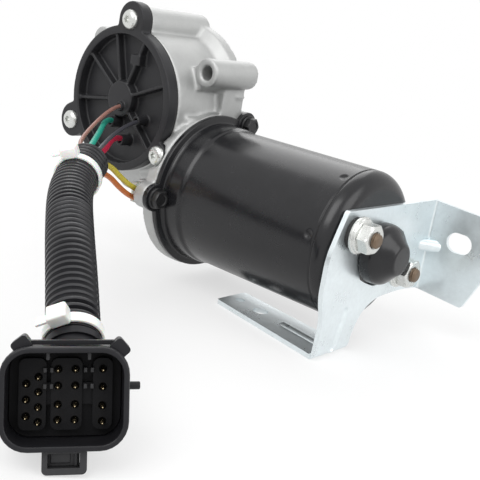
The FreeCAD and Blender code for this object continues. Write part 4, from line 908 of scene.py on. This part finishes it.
@dataclass
class Harness:
    """The corrugated loom, the six wires that run into it and the two ties round it."""

    bench: Bench
    rib_pitch: float = 2.6 * MM
    rib_steps: int = 8
    rib_depth: float = 1.25 * MM
    groove_width: float = 0.25
    sides: int = 72
    slit_width: float = 0.07
    slit_depth: float = 0.5 * MM
    slit_side: Triple = (0.78, 0.46, 0.22)
    mouth_depth: float = 14.0 * MM
    wall: float = 0.9 * MM
    tie_width_mm: float = 3.4
    tie_thickness_mm: float = 0.9
    upper_tie: float = 15.0 * MM
    lower_tie: float = 2.4 * MM
    upper_head: Triple = (0.47, -0.85, 0.23)
    lower_head: Triple = (0.54, -0.80, 0.25)

    LOOM_ROUTE = [(33.6, -84.9, -19.5), (41.9, -97.0, -23.5), (53.0, -108.5, -26.5), (76.0, -125.0, -33.5),
                  (96.0, -138.0, -43.5), (112.5, -149.0, -52.8)]
    LEADS = {
        "brown": ((2.5, -41.8, -2.9), (2.7, -48.0, -1.9), (25.9, -86.7, -14.2), (-3.0, 6.0), Cord.THIN,
                  (0.33, 0.17, 0.14)),
        "green": ((-2.4, -41.8, -11.0), (-2.0, -47.7, -9.2), (25.7, -74.6, -10.1), (0.2, 6.2), Cord.THICK,
                  (0.02, 0.33, 0.24)),
        "black": ((14.8, -41.8, -7.0), (15.6, -49.0, -7.9), (30.8, -73.6, -10.7), (3.4, 5.2), Cord.THIN,
                  (0.05, 0.05, 0.06)),
        "red": ((5.6, -41.8, -17.8), (5.9, -48.9, -15.3), (32.8, -77.5, -17.1), (1.6, 2.2), Cord.THICK,
                (0.50, 0.02, 0.06)),
        "yellow": ((26.8, -51.5, -34.4), (27.4, -57.0, -32.4), (28.9, -73.5, -19.8), (4.2, -3.6), Cord.THICK,
                   (0.55, 0.46, 0.05)),
        "orange": ((26.8, -51.5, -38.6), (27.4, -57.5, -36.6), (28.2, -72.5, -24.5), (2.0, -6.0), Cord.THICK,
                   (0.50, 0.14, 0.03))}

    def build(self, far_pieces: list[str]) -> None:
        """Args:
            far_pieces: the pieces on the loom's far end; not used.
        """
        for name in self.LEADS:
            self._wire(name)
        line = self._centreline()
        loom = self._loom(line)
        length = length_of(line)
        upper = self._tie("cable_tie_upper", line, self.upper_tie, self.upper_head)
        lower = self._tie("cable_tie_lower", line, length - self.lower_tie, self.lower_head)

    def mouth_point(self, across: float, up: float) -> Array:
        """A point on the loom's mouth in millimetres.

        Args:
            across: how far it is level.
            up: how far it is upwards.

        Returns:
            The point.
        """
        centre, second = np.array(self.LOOM_ROUTE[:2])
        away = unit(second - centre)
        side = unit(np.cross(UP, away))
        return centre + side * across - np.cross(side, away) * up

    def _curve(self, name: str, points: Array, radius: float) -> Piece:
        """A smooth curve led by the route's points.

        Args:
            name: its name.
            points: the route's points.
            radius: the cord's radius.

        Returns:
            The curve.
        """
        data = bpy.data.curves.new(name, "CURVE")
        data.dimensions = "3D"
        data.resolution_u = 16
        spline = data.splines.new("NURBS")
        spline.points.add(len(points) - 1)
        spline.points.foreach_set("co", np.c_[points, np.ones(len(points))].ravel())
        spline.order_u = 3
        spline.use_endpoint_u = True
        data.bevel_depth = radius
        data.bevel_resolution = 6
        data.use_fill_caps = True
        return bpy.data.objects.new(name, data)

    def _points_of(self, curve: Piece) -> Array:
        """The points that a curve with no thickness runs through.

        Args:
            curve: the curve, which is used up.

        Returns:
            The points.
        """
        link(curve)
        bpy.context.view_layer.update()
        line = bpy.data.meshes.new_from_object(curve)
        points = np.empty(len(line.vertices) * 3)
        line.vertices.foreach_get("co", points)
        bpy.data.meshes.remove(line)
        bpy.data.objects.remove(curve)
        return points.reshape(-1, 3)

    def _wire(self, name: str) -> None:
        """One wire from its outlet to the loom's mouth.

        Args:
            name: the wire's colour, as in LEADS.
        """
        start, bend, lead_in, (across, up), kind, colour = self.LEADS[name]
        route = np.array([start, bend, lead_in, self.mouth_point(across, up)]) * MM
        line = self._points_of(self._curve(name + "_line", route, 0.0))
        wire = self._curve("wire_" + name + "_cord", route, kind.value / 2 * MM)
        self.bench.dress(wire, wire_finish(name, colour), ("wire_" + name,))

    def _centreline(self) -> Array:
        """The loom's middle line at even steps.

        Returns:
            The points.
        """
        coarse = self._points_of(self._curve("loom_line", np.array(self.LOOM_ROUTE) * MM, 0.0))
        run = np.concatenate([[0], np.cumsum(np.linalg.norm(np.diff(coarse, axis=0), axis=1))])
        even = np.linspace(0, run[-1], int(run[-1] / (self.rib_pitch / self.rib_steps)))
        return np.stack([np.interp(even, run, coarse[:, k]) for k in range(3)], -1)

    def _loom(self, line: Array) -> Piece:
        """The loom: a tube whose radius falls in a narrow groove once every pitch, with a slit along it.

        The groove is a cosine of the length run, cut off below so that the crests are wide and flat.

        Args:
            line: the middle line.

        Returns:
            The loom.
        """
        outer = Cord.LOOM.value * MM / 2
        run = np.linspace(0, length_of(line), len(line))
        wave = np.clip((np.cos(2 * np.pi * run / self.rib_pitch) + self.groove_width) / 0.95, 0, 1)
        groove = wave * wave * (3 - 2 * wave)
        across, up = side_directions(line)
        slit = np.arctan2(up @ self.slit_side, across @ self.slit_side)
        seam = np.exp(-(turn_past(around(self.sides)[None], slit[:, None]) / self.slit_width) ** 2)
        radii = outer - self.rib_depth * groove[:, None] - self.slit_depth * seam
        inside = line[:int(self.mouth_depth / (self.rib_pitch / self.rib_steps))]
        bore = np.full((len(inside), self.sides), outer - self.rib_depth - self.wall)
        points = np.concatenate([carried(inside, bore)[::-1], carried(line, radii)])
        return self.bench.piece("loom_tube", [Patch(points, capped=True)], LOOM_PLASTIC, ("loom",), sharp=60)

    def _tie(self, node: str, line: Array, distance: float, towards: Triple) -> Piece:
        """A tie round the loom: a flat band, a head on the side towards a direction and a short cut tail.

        Args:
            node: the node that it stands for.
            line: the loom's middle line.
            distance: how far along the line it sits.
            towards: the direction of its head.

        Returns:
            The tie.
        """
        index = int(np.searchsorted(np.linspace(0, length_of(line), len(line)), distance))
        along = unit(line[index + 1] - line[index - 1])
        out = unit(towards - along * np.dot(along, towards))
        stand = Stand(tuple(line[index]), tuple(along), tuple(np.cross(out, along)), tuple(out))
        inner = Cord.LOOM.value / 2 + 0.1
        outer, half = inner + self.tie_thickness_mm, self.tie_width_mm / 2
        band = rounded_line([(-half, inner), (half, inner), (half, outer), (-half, outer)], 0.25, 4, closed=True)
        head = eased_block(stand.moved(up=inner + 2.3), (5.6, 6.2, 4.4), 0.8, 0.6)
        tail = eased_block(stand.moved(across=-4.9, up=inner + 2.1), (3.0, 4.4, 0.9), 0.3, 0.2)
        return self.bench.piece(node + "_strap", [Patch(turned(stand, band), wrap_rows=True), head, tail],
                                WHITE_NYLON, (node,))


# Motor

@dataclass
class MotorCan:
    """The painted can with its ears, end bead, dents and end cap, and the screws through its ears."""

    bench: Bench
    start: float = 36.0
    end: float = 126.0
    radius: float = 31.0
    flange: float = 35.4
    ear_pitch: float = 35.6
    ear_radius: float = 6.0
    ear_angles: tuple[float, ...] = (61.0, 181.0, 301.0)
    cup_radius: float = 8.3
    shoulder: float = 6.4
    dent_angles: tuple[float, ...] = (116.0, 168.0, 296.0, 348.0)
    dent_place: float = 10.2
    dent_reach: float = 1.9
    dent_depth: float = 0.6
    ear_blend: float = 1.2
    sides: int = 384

    def build(self) -> None:
        """Makes the can and its screws."""
        self._can()
        self._screws()

    def _flange_outline(self, angle: Array) -> Array:
        """The flange's radius at each angle: the larger of the rim and each ear's circle, blended at the meeting.

        Args:
            angle: the angles.

        Returns:
            The radii.
        """
        found = np.full_like(angle, self.flange)
        for ear in np.radians(self.ear_angles):
            apart = turn_past(angle, ear)
            reach = np.clip(self.ear_radius ** 2 - (self.ear_pitch * np.sin(apart)) ** 2, 0, None)
            lobe = np.where(reach > 0, self.ear_pitch * np.cos(apart) + np.sqrt(reach), 0)
            found = self.ear_blend * np.logaddexp(found / self.ear_blend, lobe / self.ear_blend)
        return found

    def _can(self) -> None:
        """The can's shell, turned from a profile whose flange rows follow the ears' outline, and its end cap.

        Close to its end the profile has rows a third of a millimetre apart, so that the dents show: each takes off a
        depth times one less the square of the distance over its reach.
        """
        s, e, r = self.start, self.end, self.radius
        body = [(s, self.flange - 3.0), (s, self.flange), (s + 2.2, self.flange), (s + 2.6, r + 1.4), (s + 4, r + 0.9),
                (s + 11.5, r + 0.8), (s + 13.2, r), (e - 13.0, r)]
        groove = [(e - 7.8, r), (e - 7.5, r - 0.35), (e - 7.1, r - 0.35), (e - 6.8, r)]
        head = [(e, 12.5), (e, self.cup_radius + 0.6), (e + 6.6, self.cup_radius - 0.3), (e + 6.6, 0.0)]
        fine = np.linspace(e - 12.7, e - 8.0, 17)
        turn = np.linspace(0, np.pi / 2, 16)
        shoulder = np.c_[e - self.shoulder * (1 - np.sin(turn)), r - self.shoulder * (1 - np.cos(turn))]
        profile = np.concatenate([rounded_line(body, [0, 0.5, 0.5, 0.6, 1, 1.5, 1.5, 0], 9),
                                  np.c_[fine, np.full(17, r)], rounded_line(groove, 0.2, 5), shoulder,
                                  rounded_line(head, [0, 1.2, 2.2, 0], 9)])
        along = profile[:, 0:1]
        angle = around(self.sides)
        weight = np.clip((profile[:, 1:2] - (r + 1.5)) / (self.flange - 0.6 - r - 1.5), 0, 1) * (along < s + 2.7)
        radii = profile[:, 1:2] + weight * (self._flange_outline(angle) - self.flange)
        near_end = (along > e - 12.8) & (along < e - 7.9)
        for dent in np.radians(self.dent_angles):
            around_can = turn_past(angle, dent) * r
            apart = (around_can ** 2 + (along - (e - self.dent_place)) ** 2) / self.dent_reach ** 2
            radii = radii - near_end * self.dent_depth * np.clip(1 - apart, 0, None)
        cap = rounded_line([(e + 2.1, 0.0), (e + 2.1, 11.4), (e + 3.2, 12.5), (e + 8.4, 12.3), (e + 11.4, 8.9),
                            (e + 14.6, 6.0), (e + 14.6, 0.0)], [0, 0.8, 1.0, 2.0, 2.4, 0.9, 0], 9)
        patches = [Patch(turned(MOTOR_STAND, profile, self.sides, radii), capped=True),
                   Patch(turned(MOTOR_STAND, cap), capped=True)]
        self.bench.piece("motor_can_shell", patches, CAN_PAINT, ("motor_can",), sharp=50)

    def _screws(self) -> None:
        """Hex heads with a pressed washer, a domed top and a shallow dish."""
        face = self.start + 2.2
        rows = np.array([(face, 4.7), (face + 0.7, 4.7), (face + 1.1, 4.2), (face + 1.1, 4.0), (face + 3.4, 4.0),
                         (face + 4.0, 3.5), (face + 4.0, 2.6), (face + 3.7, 2.2), (face + 3.7, 0.0)])
        six = np.array([0, 0, 0, 1, 1, 0.4, 0, 0, 0])
        steps = 72
        radii = rows[:, 1:2] + six[:, None] * (hexagon_radius(around(steps), 7.4) - 4.0)
        patches = [Patch(turned(stand, rows, steps, radii), capped=True)
                   for stand in MOTOR_STAND.ring(self.ear_pitch, self.ear_angles)]
        self.bench.piece("motor_screw_heads", patches, BLACK_OXIDE, ("motor_screws",), sharp=30)


@dataclass
class Bracket:
    """The zinc-plated bracket with its two studs and flange nuts."""

    bench: Bench
    face: float = 128.0
    stud_start: float = 124.3
    stud_end: float = 139.3
    stud_radius: float = 3.0
    stud_tip: float = 2.3
    thread_depth: float = 0.55
    across: float = 18.2
    up: float = 9.3
    pitch: float = 1.0
    across_flats: float = 10.8
    spacer: float = 2.3
    nut_top: float = 9.6
    opening_middle: Pair = (6.8, -2.6)
    corner_pull: float = 0.12
    corner_overlap: float = 0.06
    corner_depth: float = 1.95
    corner_proud: float = 0.02

    def build(self) -> None:
        """Makes the sheet, the studs and the nuts."""
        self.bench.finish_node("mounting_bracket", BRIGHT_ZINC)
        stands = [MOTOR_STAND.moved(across=-side * self.across, up=side * self.up) for side in (1, -1)]
        self.bench.piece("bracket_stud_threads", [self._stud(stand) for stand in stands], STUD_ZINC,
                         ("bracket_studs",), sharp=60)
        self.bench.piece("bracket_flange_nuts", [self._nut(stand) for stand in stands], ZINC_PLATE,
                         ("bracket_nuts",), sharp=30)
        # The black rings are stand-offs under the nuts, and their black also paints the shade in the gap between the
        # plate and each nut.
        self.bench.piece("stud_spacers_and_painted_shade", [self._spacer_and_painted_shade(stand) for stand in stands], GASKET_RUBBER)
        corners = [self._corner((15.3, 11.0), (7.6, 11.0), (20.4, 6.0)),
                   self._corner((-2.9, -15.4), (4.6, -15.4), (-7.0, -11.0))]
        self.bench.piece("opening_corners", corners, BRIGHT_ZINC)

    def _stud(self, stand: Stand) -> Patch:
        """A threaded stud: its radius is a rounded saw of the length run less the turn round it.

        Args:
            stand: the stud's axis.

        Returns:
            The stud.
        """
        places = np.linspace(self.stud_start, self.stud_end, 150)[:, None]
        steps = 40
        phase = (places / self.pitch - around(steps) / (2 * np.pi)) % 1
        thread = self.stud_radius - self.thread_depth * (1 - np.abs(2 * phase - 1)) ** 0.8
        thread = np.minimum(thread, self.stud_tip + self.stud_end - places)
        radii = np.where(places < self.face, self.stud_radius, thread)
        return Patch(turned(stand, places, steps, radii), capped=True)

    def _corner(self, tip: Pair, first: Pair, second: Pair) -> Patch:
        """A rounded corner of the plate's opening: a curve from one edge to the other, closed outside the tip.

        The curve is first times (1-u) squared, plus a point near the tip times 2u(1-u), plus second times u squared.

        Args:
            tip: the sharp corner's tip.
            first: where the curve starts.
            second: where the curve ends.

        Returns:
            The corner.
        """
        a, t, b, middle = np.array([first, tip, second, self.opening_middle])
        pull = t + self.corner_pull * (middle - t)
        u = np.linspace(0, 1, 12)[:, None]
        curve = a * (1 - u) ** 2 + pull * 2 * u * (1 - u) + b * u ** 2
        back = np.array([b, t, a])
        ring = np.concatenate([curve, back + self.corner_overlap * (back - middle)])
        places = np.array([self.face - self.corner_depth, self.face + self.corner_proud])
        return stacked(MOTOR_STAND, places, np.array([ring, ring]))

    def _spacer_and_painted_shade(self, stand: Stand) -> Patch:
        """A black rubber ring between the plate and the nut; its black also paints the shade in the gap under the nut.

        Args:
            stand: the stud's axis.

        Returns:
            The ring.
        """
        foot, top = self.face, self.face + self.spacer
        ring = rounded_line([(foot, 3.05), (foot, 6.4), (top, 6.4), (top, 3.05)], 0.3, 4, closed=True)
        return Patch(turned(stand, ring, 64), wrap_rows=True)

    def _nut(self, stand: Stand) -> Patch:
        """A hex nut on a captive washer: the hexagon is held inside a cone at its top, for the chamfer.

        Args:
            stand: the stud's axis.

        Returns:
            The nut.
        """
        foot, top = self.face + self.spacer, self.face + self.nut_top
        flange = rounded_line([(foot, 3.1), (foot, 7.4), (foot + 1.3, 7.4), (foot + 1.4, 6.8), (foot + 2.3, 6.7),
                               (foot + 2.6, 5.4)], [0, 0.3, 0.4, 0.1, 0.4, 0], 5)
        height = np.linspace(foot + 2.7, top, 14)[:, None]
        crown = np.array([(top, 4.4), (top, 3.5), (top - 0.5, 3.1)])
        steps = 96
        body = np.minimum(hexagon_radius(around(steps), self.across_flats), 5.2 + 1.6 * (top - height))
        profile = np.concatenate([flange, np.c_[height, height], crown])
        radii = np.concatenate([np.tile(flange[:, 1:2], steps), body, np.tile(crown[:, 1:2], steps)])
        return Patch(turned(stand, profile, steps, radii), wrap_rows=True)


# Gear case

@dataclass
class GearCase:
    """The casting, the sensor cover with its screws, and the wires' grommet."""

    bench: Bench
    screw_pitch: float = 35.4
    screw_angles: tuple[float, ...] = (87.0, 207.0, 327.0)
    cover_front: float = 44.0

    def build(self) -> None:
        """Makes the casting, the cover, the screws and the grommet."""
        self.bench.softened("gear_housing", CAST_ALUMINIUM, 0.72, 5)
        self.bench.softened("sensor_cover", COVER_PLASTIC, 0.42, 3)
        self.bench.finish_node("wire_grommet", CLEAR_NYLON)
        self._screws()

    def _screws(self) -> None:
        """Pan heads with a six-lobe recess: its wall follows a circle plus a six-fold cosine."""
        f = self.cover_front
        rows = np.array([(f, 4.4), (f + 0.5, 4.4), (f + 1.3, 4.1), (f + 1.9, 3.5), (f + 2.3, 2.8), (f + 2.45, 2.0),
                         (f + 2.4, 1.75), (f + 1.3, 1.6), (f + 1.2, 0.0)])
        lobes = np.array([0, 0, 0, 0, 0, 0, 1, 1, 0])
        steps = 72
        radii = rows[:, 1:2] - lobes[:, None] * 0.22 * (1 - np.cos(6 * around(steps)))
        patches = [Patch(turned(stand, rows, steps, radii), capped=True)
                   for stand in OUTPUT_STAND.ring(self.screw_pitch, self.screw_angles)]
        self.bench.piece("cover_screw_heads", patches, ZINC_PLATE, ("cover_screws",), sharp=40)


# Connector

@dataclass
class Connector:
    """The connector on the loom's end: shell, insert, pins, backshell, collar, lock and clip."""

    bench: Bench
    yaw: float = -40.3
    tilt: float = 18.0
    roll: float = 5.5
    face: Triple = (134.6, -168.5, -56.0)
    width: float = 33.1
    height: float = 26.8
    corner: float = 7.2
    depth: float = 17.0
    wall: float = 1.3

    FINISHES = {"connector_backshell": CONNECTOR_PLASTIC, "connector_collar": CONNECTOR_PLASTIC,
                "connector_lock": CONNECTOR_PLASTIC, "connector_insert": INSERT_PLASTIC,
                "connector_clip": CLIP_PLASTIC, "connector_pins": PIN_METAL}

    def stand(self) -> Stand:
        """The connector's frame: along leaves its mating face, up is its own top."""
        turn = rotation(2, self.yaw) @ rotation(1, -self.tilt) @ rotation(0, self.roll)
        return Stand(tuple(np.array(self.face) * MM), tuple(turn[:, 0]), tuple(turn[:, 1]), tuple(turn[:, 2]))

    def build(self) -> list[str]:
        """Makes the connector's pieces and gives the names of all that hang on the loom.

        Returns:
            The names.
        """
        names = [self._shell().name]
        for node, finish in self.FINISHES.items():
            self.bench.finish_node(node, finish)
            names.append(node)
        return names + [self._panel().name, self._bars().name]

    def _panel(self) -> Piece:
        """The ribbed panel in the clip's window: a thin block, a step on it and a raised strip at its side.

        Returns:
            The panel.
        """
        stand = self.stand().moved(along=-5.6, up=-self.height / 2 - 3.1)
        patches = [eased_block(stand, (1.4, 8.3, 3.7), 0.2, 0.15),
                   eased_block(stand.moved(along=0.5, across=-0.9, up=0.3), (1.2, 5.2, 2.6), 0.3, 0.2),
                   eased_block(stand.moved(along=0.7, across=3.2), (1.4, 0.9, 3.5), 0.2, 0.15)]
        return self.bench.piece("clip_panel", patches, CLIP_PLASTIC)

    def _bars(self) -> Piece:
        """Bars across the slots between the insert's lobes, beside the upper pins, and a key above each slot.

        Returns:
            The bars and keys.
        """
        stand = self.stand()
        patches = []
        for across in (-4.6, 6.2):
            for up in (6.6, 2.2):
                for side in (-0.9, 0.9):
                    bar = stand.moved(along=-9.6, across=across + side, up=up)
                    patches.append(eased_block(bar, (2.6, 0.9, 1.3), 0.15, 0.12))
            key = stand.moved(along=-6.5, across=across, up=self.height / 2 - 2.2)
            patches.append(eased_block(key, (8.0, 0.9, 2.2), 0.15, 0.12))
        return self.bench.piece("insert_keys", patches, CLIP_PLASTIC)

    def _shell(self) -> Piece:
        """The open shell: outlines carried from the back over the rim and into the mouth, and two side pins.

        Returns:
            The shell.
        """
        d, wall = self.depth, self.wall
        walk = rounded_line([(-d, 0.0), (-2.8, 0.0), (-2.4, -0.4), (-1.2, -0.4), (0.0, -0.2), (0.0, wall),
                             (3.0 - d, wall)], [0, 0.3, 0.3, 0.4, 0.5, 0.5, 0], 5)
        rings = [rounded_outline(self.width - 2 * inset, self.height - 2 * inset, self.corner - inset)
                 for inset in walk[:, 1]]
        stand = self.stand()
        patches = [stacked(stand, walk[:, 0], np.array(rings))]
        profile = rounded_line([(-1.0, 1.1), (3.5, 1.1), (3.5, 0.0)], [0, 0.4, 0], 5)
        for side in (1, -1):
            pin = Stand(stand.moved(along=-7, across=side * self.width / 2, up=2.5).origin,
                        tuple(side * np.array(stand.across)), stand.along, stand.up)
            patches.append(Patch(turned(pin, profile, 32), capped=True))
        return self.bench.piece("connector_shell_body", patches, CONNECTOR_PLASTIC, ("connector_shell",), sharp=40)


# Works inside

@dataclass
class Works:
    """What is inside the motor and the gear case, each piece with its own finish."""

    bench: Bench

    FINISHES = {
        STEEL: ("thrust_plug", "thrust_ball", "gear_retainer", "shaft_bearing", "magnet_clips", "bush_retainer"),
        SHAFT_STEEL: ("output_shaft", "worm", "motor_shaft"), CORE_STEEL: ("armature_core",),
        BRONZE: ("output_bushing", "rear_bush"), WHEEL_BRONZE: ("drive_gear",),
        COPPER: ("armature_windings", "commutator", "brush_springs"), FERRITE: ("field_magnets",),
        CARBON: ("brushes",), CARRIER_PLASTIC: ("sensor_wiper", "brush_plate"), BOARD: ("sensor_board",),
        GASKET_RUBBER: ("cover_gasket", "motor_gasket"), RUBBER: ("output_seal",)}

    def build(self) -> None:
        """Gives each inner node its finish."""
        for finish, nodes in self.FINISHES.items():
            for node in nodes:
                self.bench.finish_node(node, finish)


def main() -> None:
    """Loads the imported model, sets the camera, makes the cords and then every other piece."""
    logging.basicConfig(level=logging.INFO, format="%(message)s")
    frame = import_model()
    bench = Bench(frame)
    studio = Studio()
    studio.set_camera()
    hanging = Connector(bench).build()
    Harness(bench).build(hanging)
    GearCase(bench).build()
    MotorCan(bench).build()
    Bracket(bench).build()
    Works(bench).build()
    studio.light()


if __name__ == "__main__":
    main()
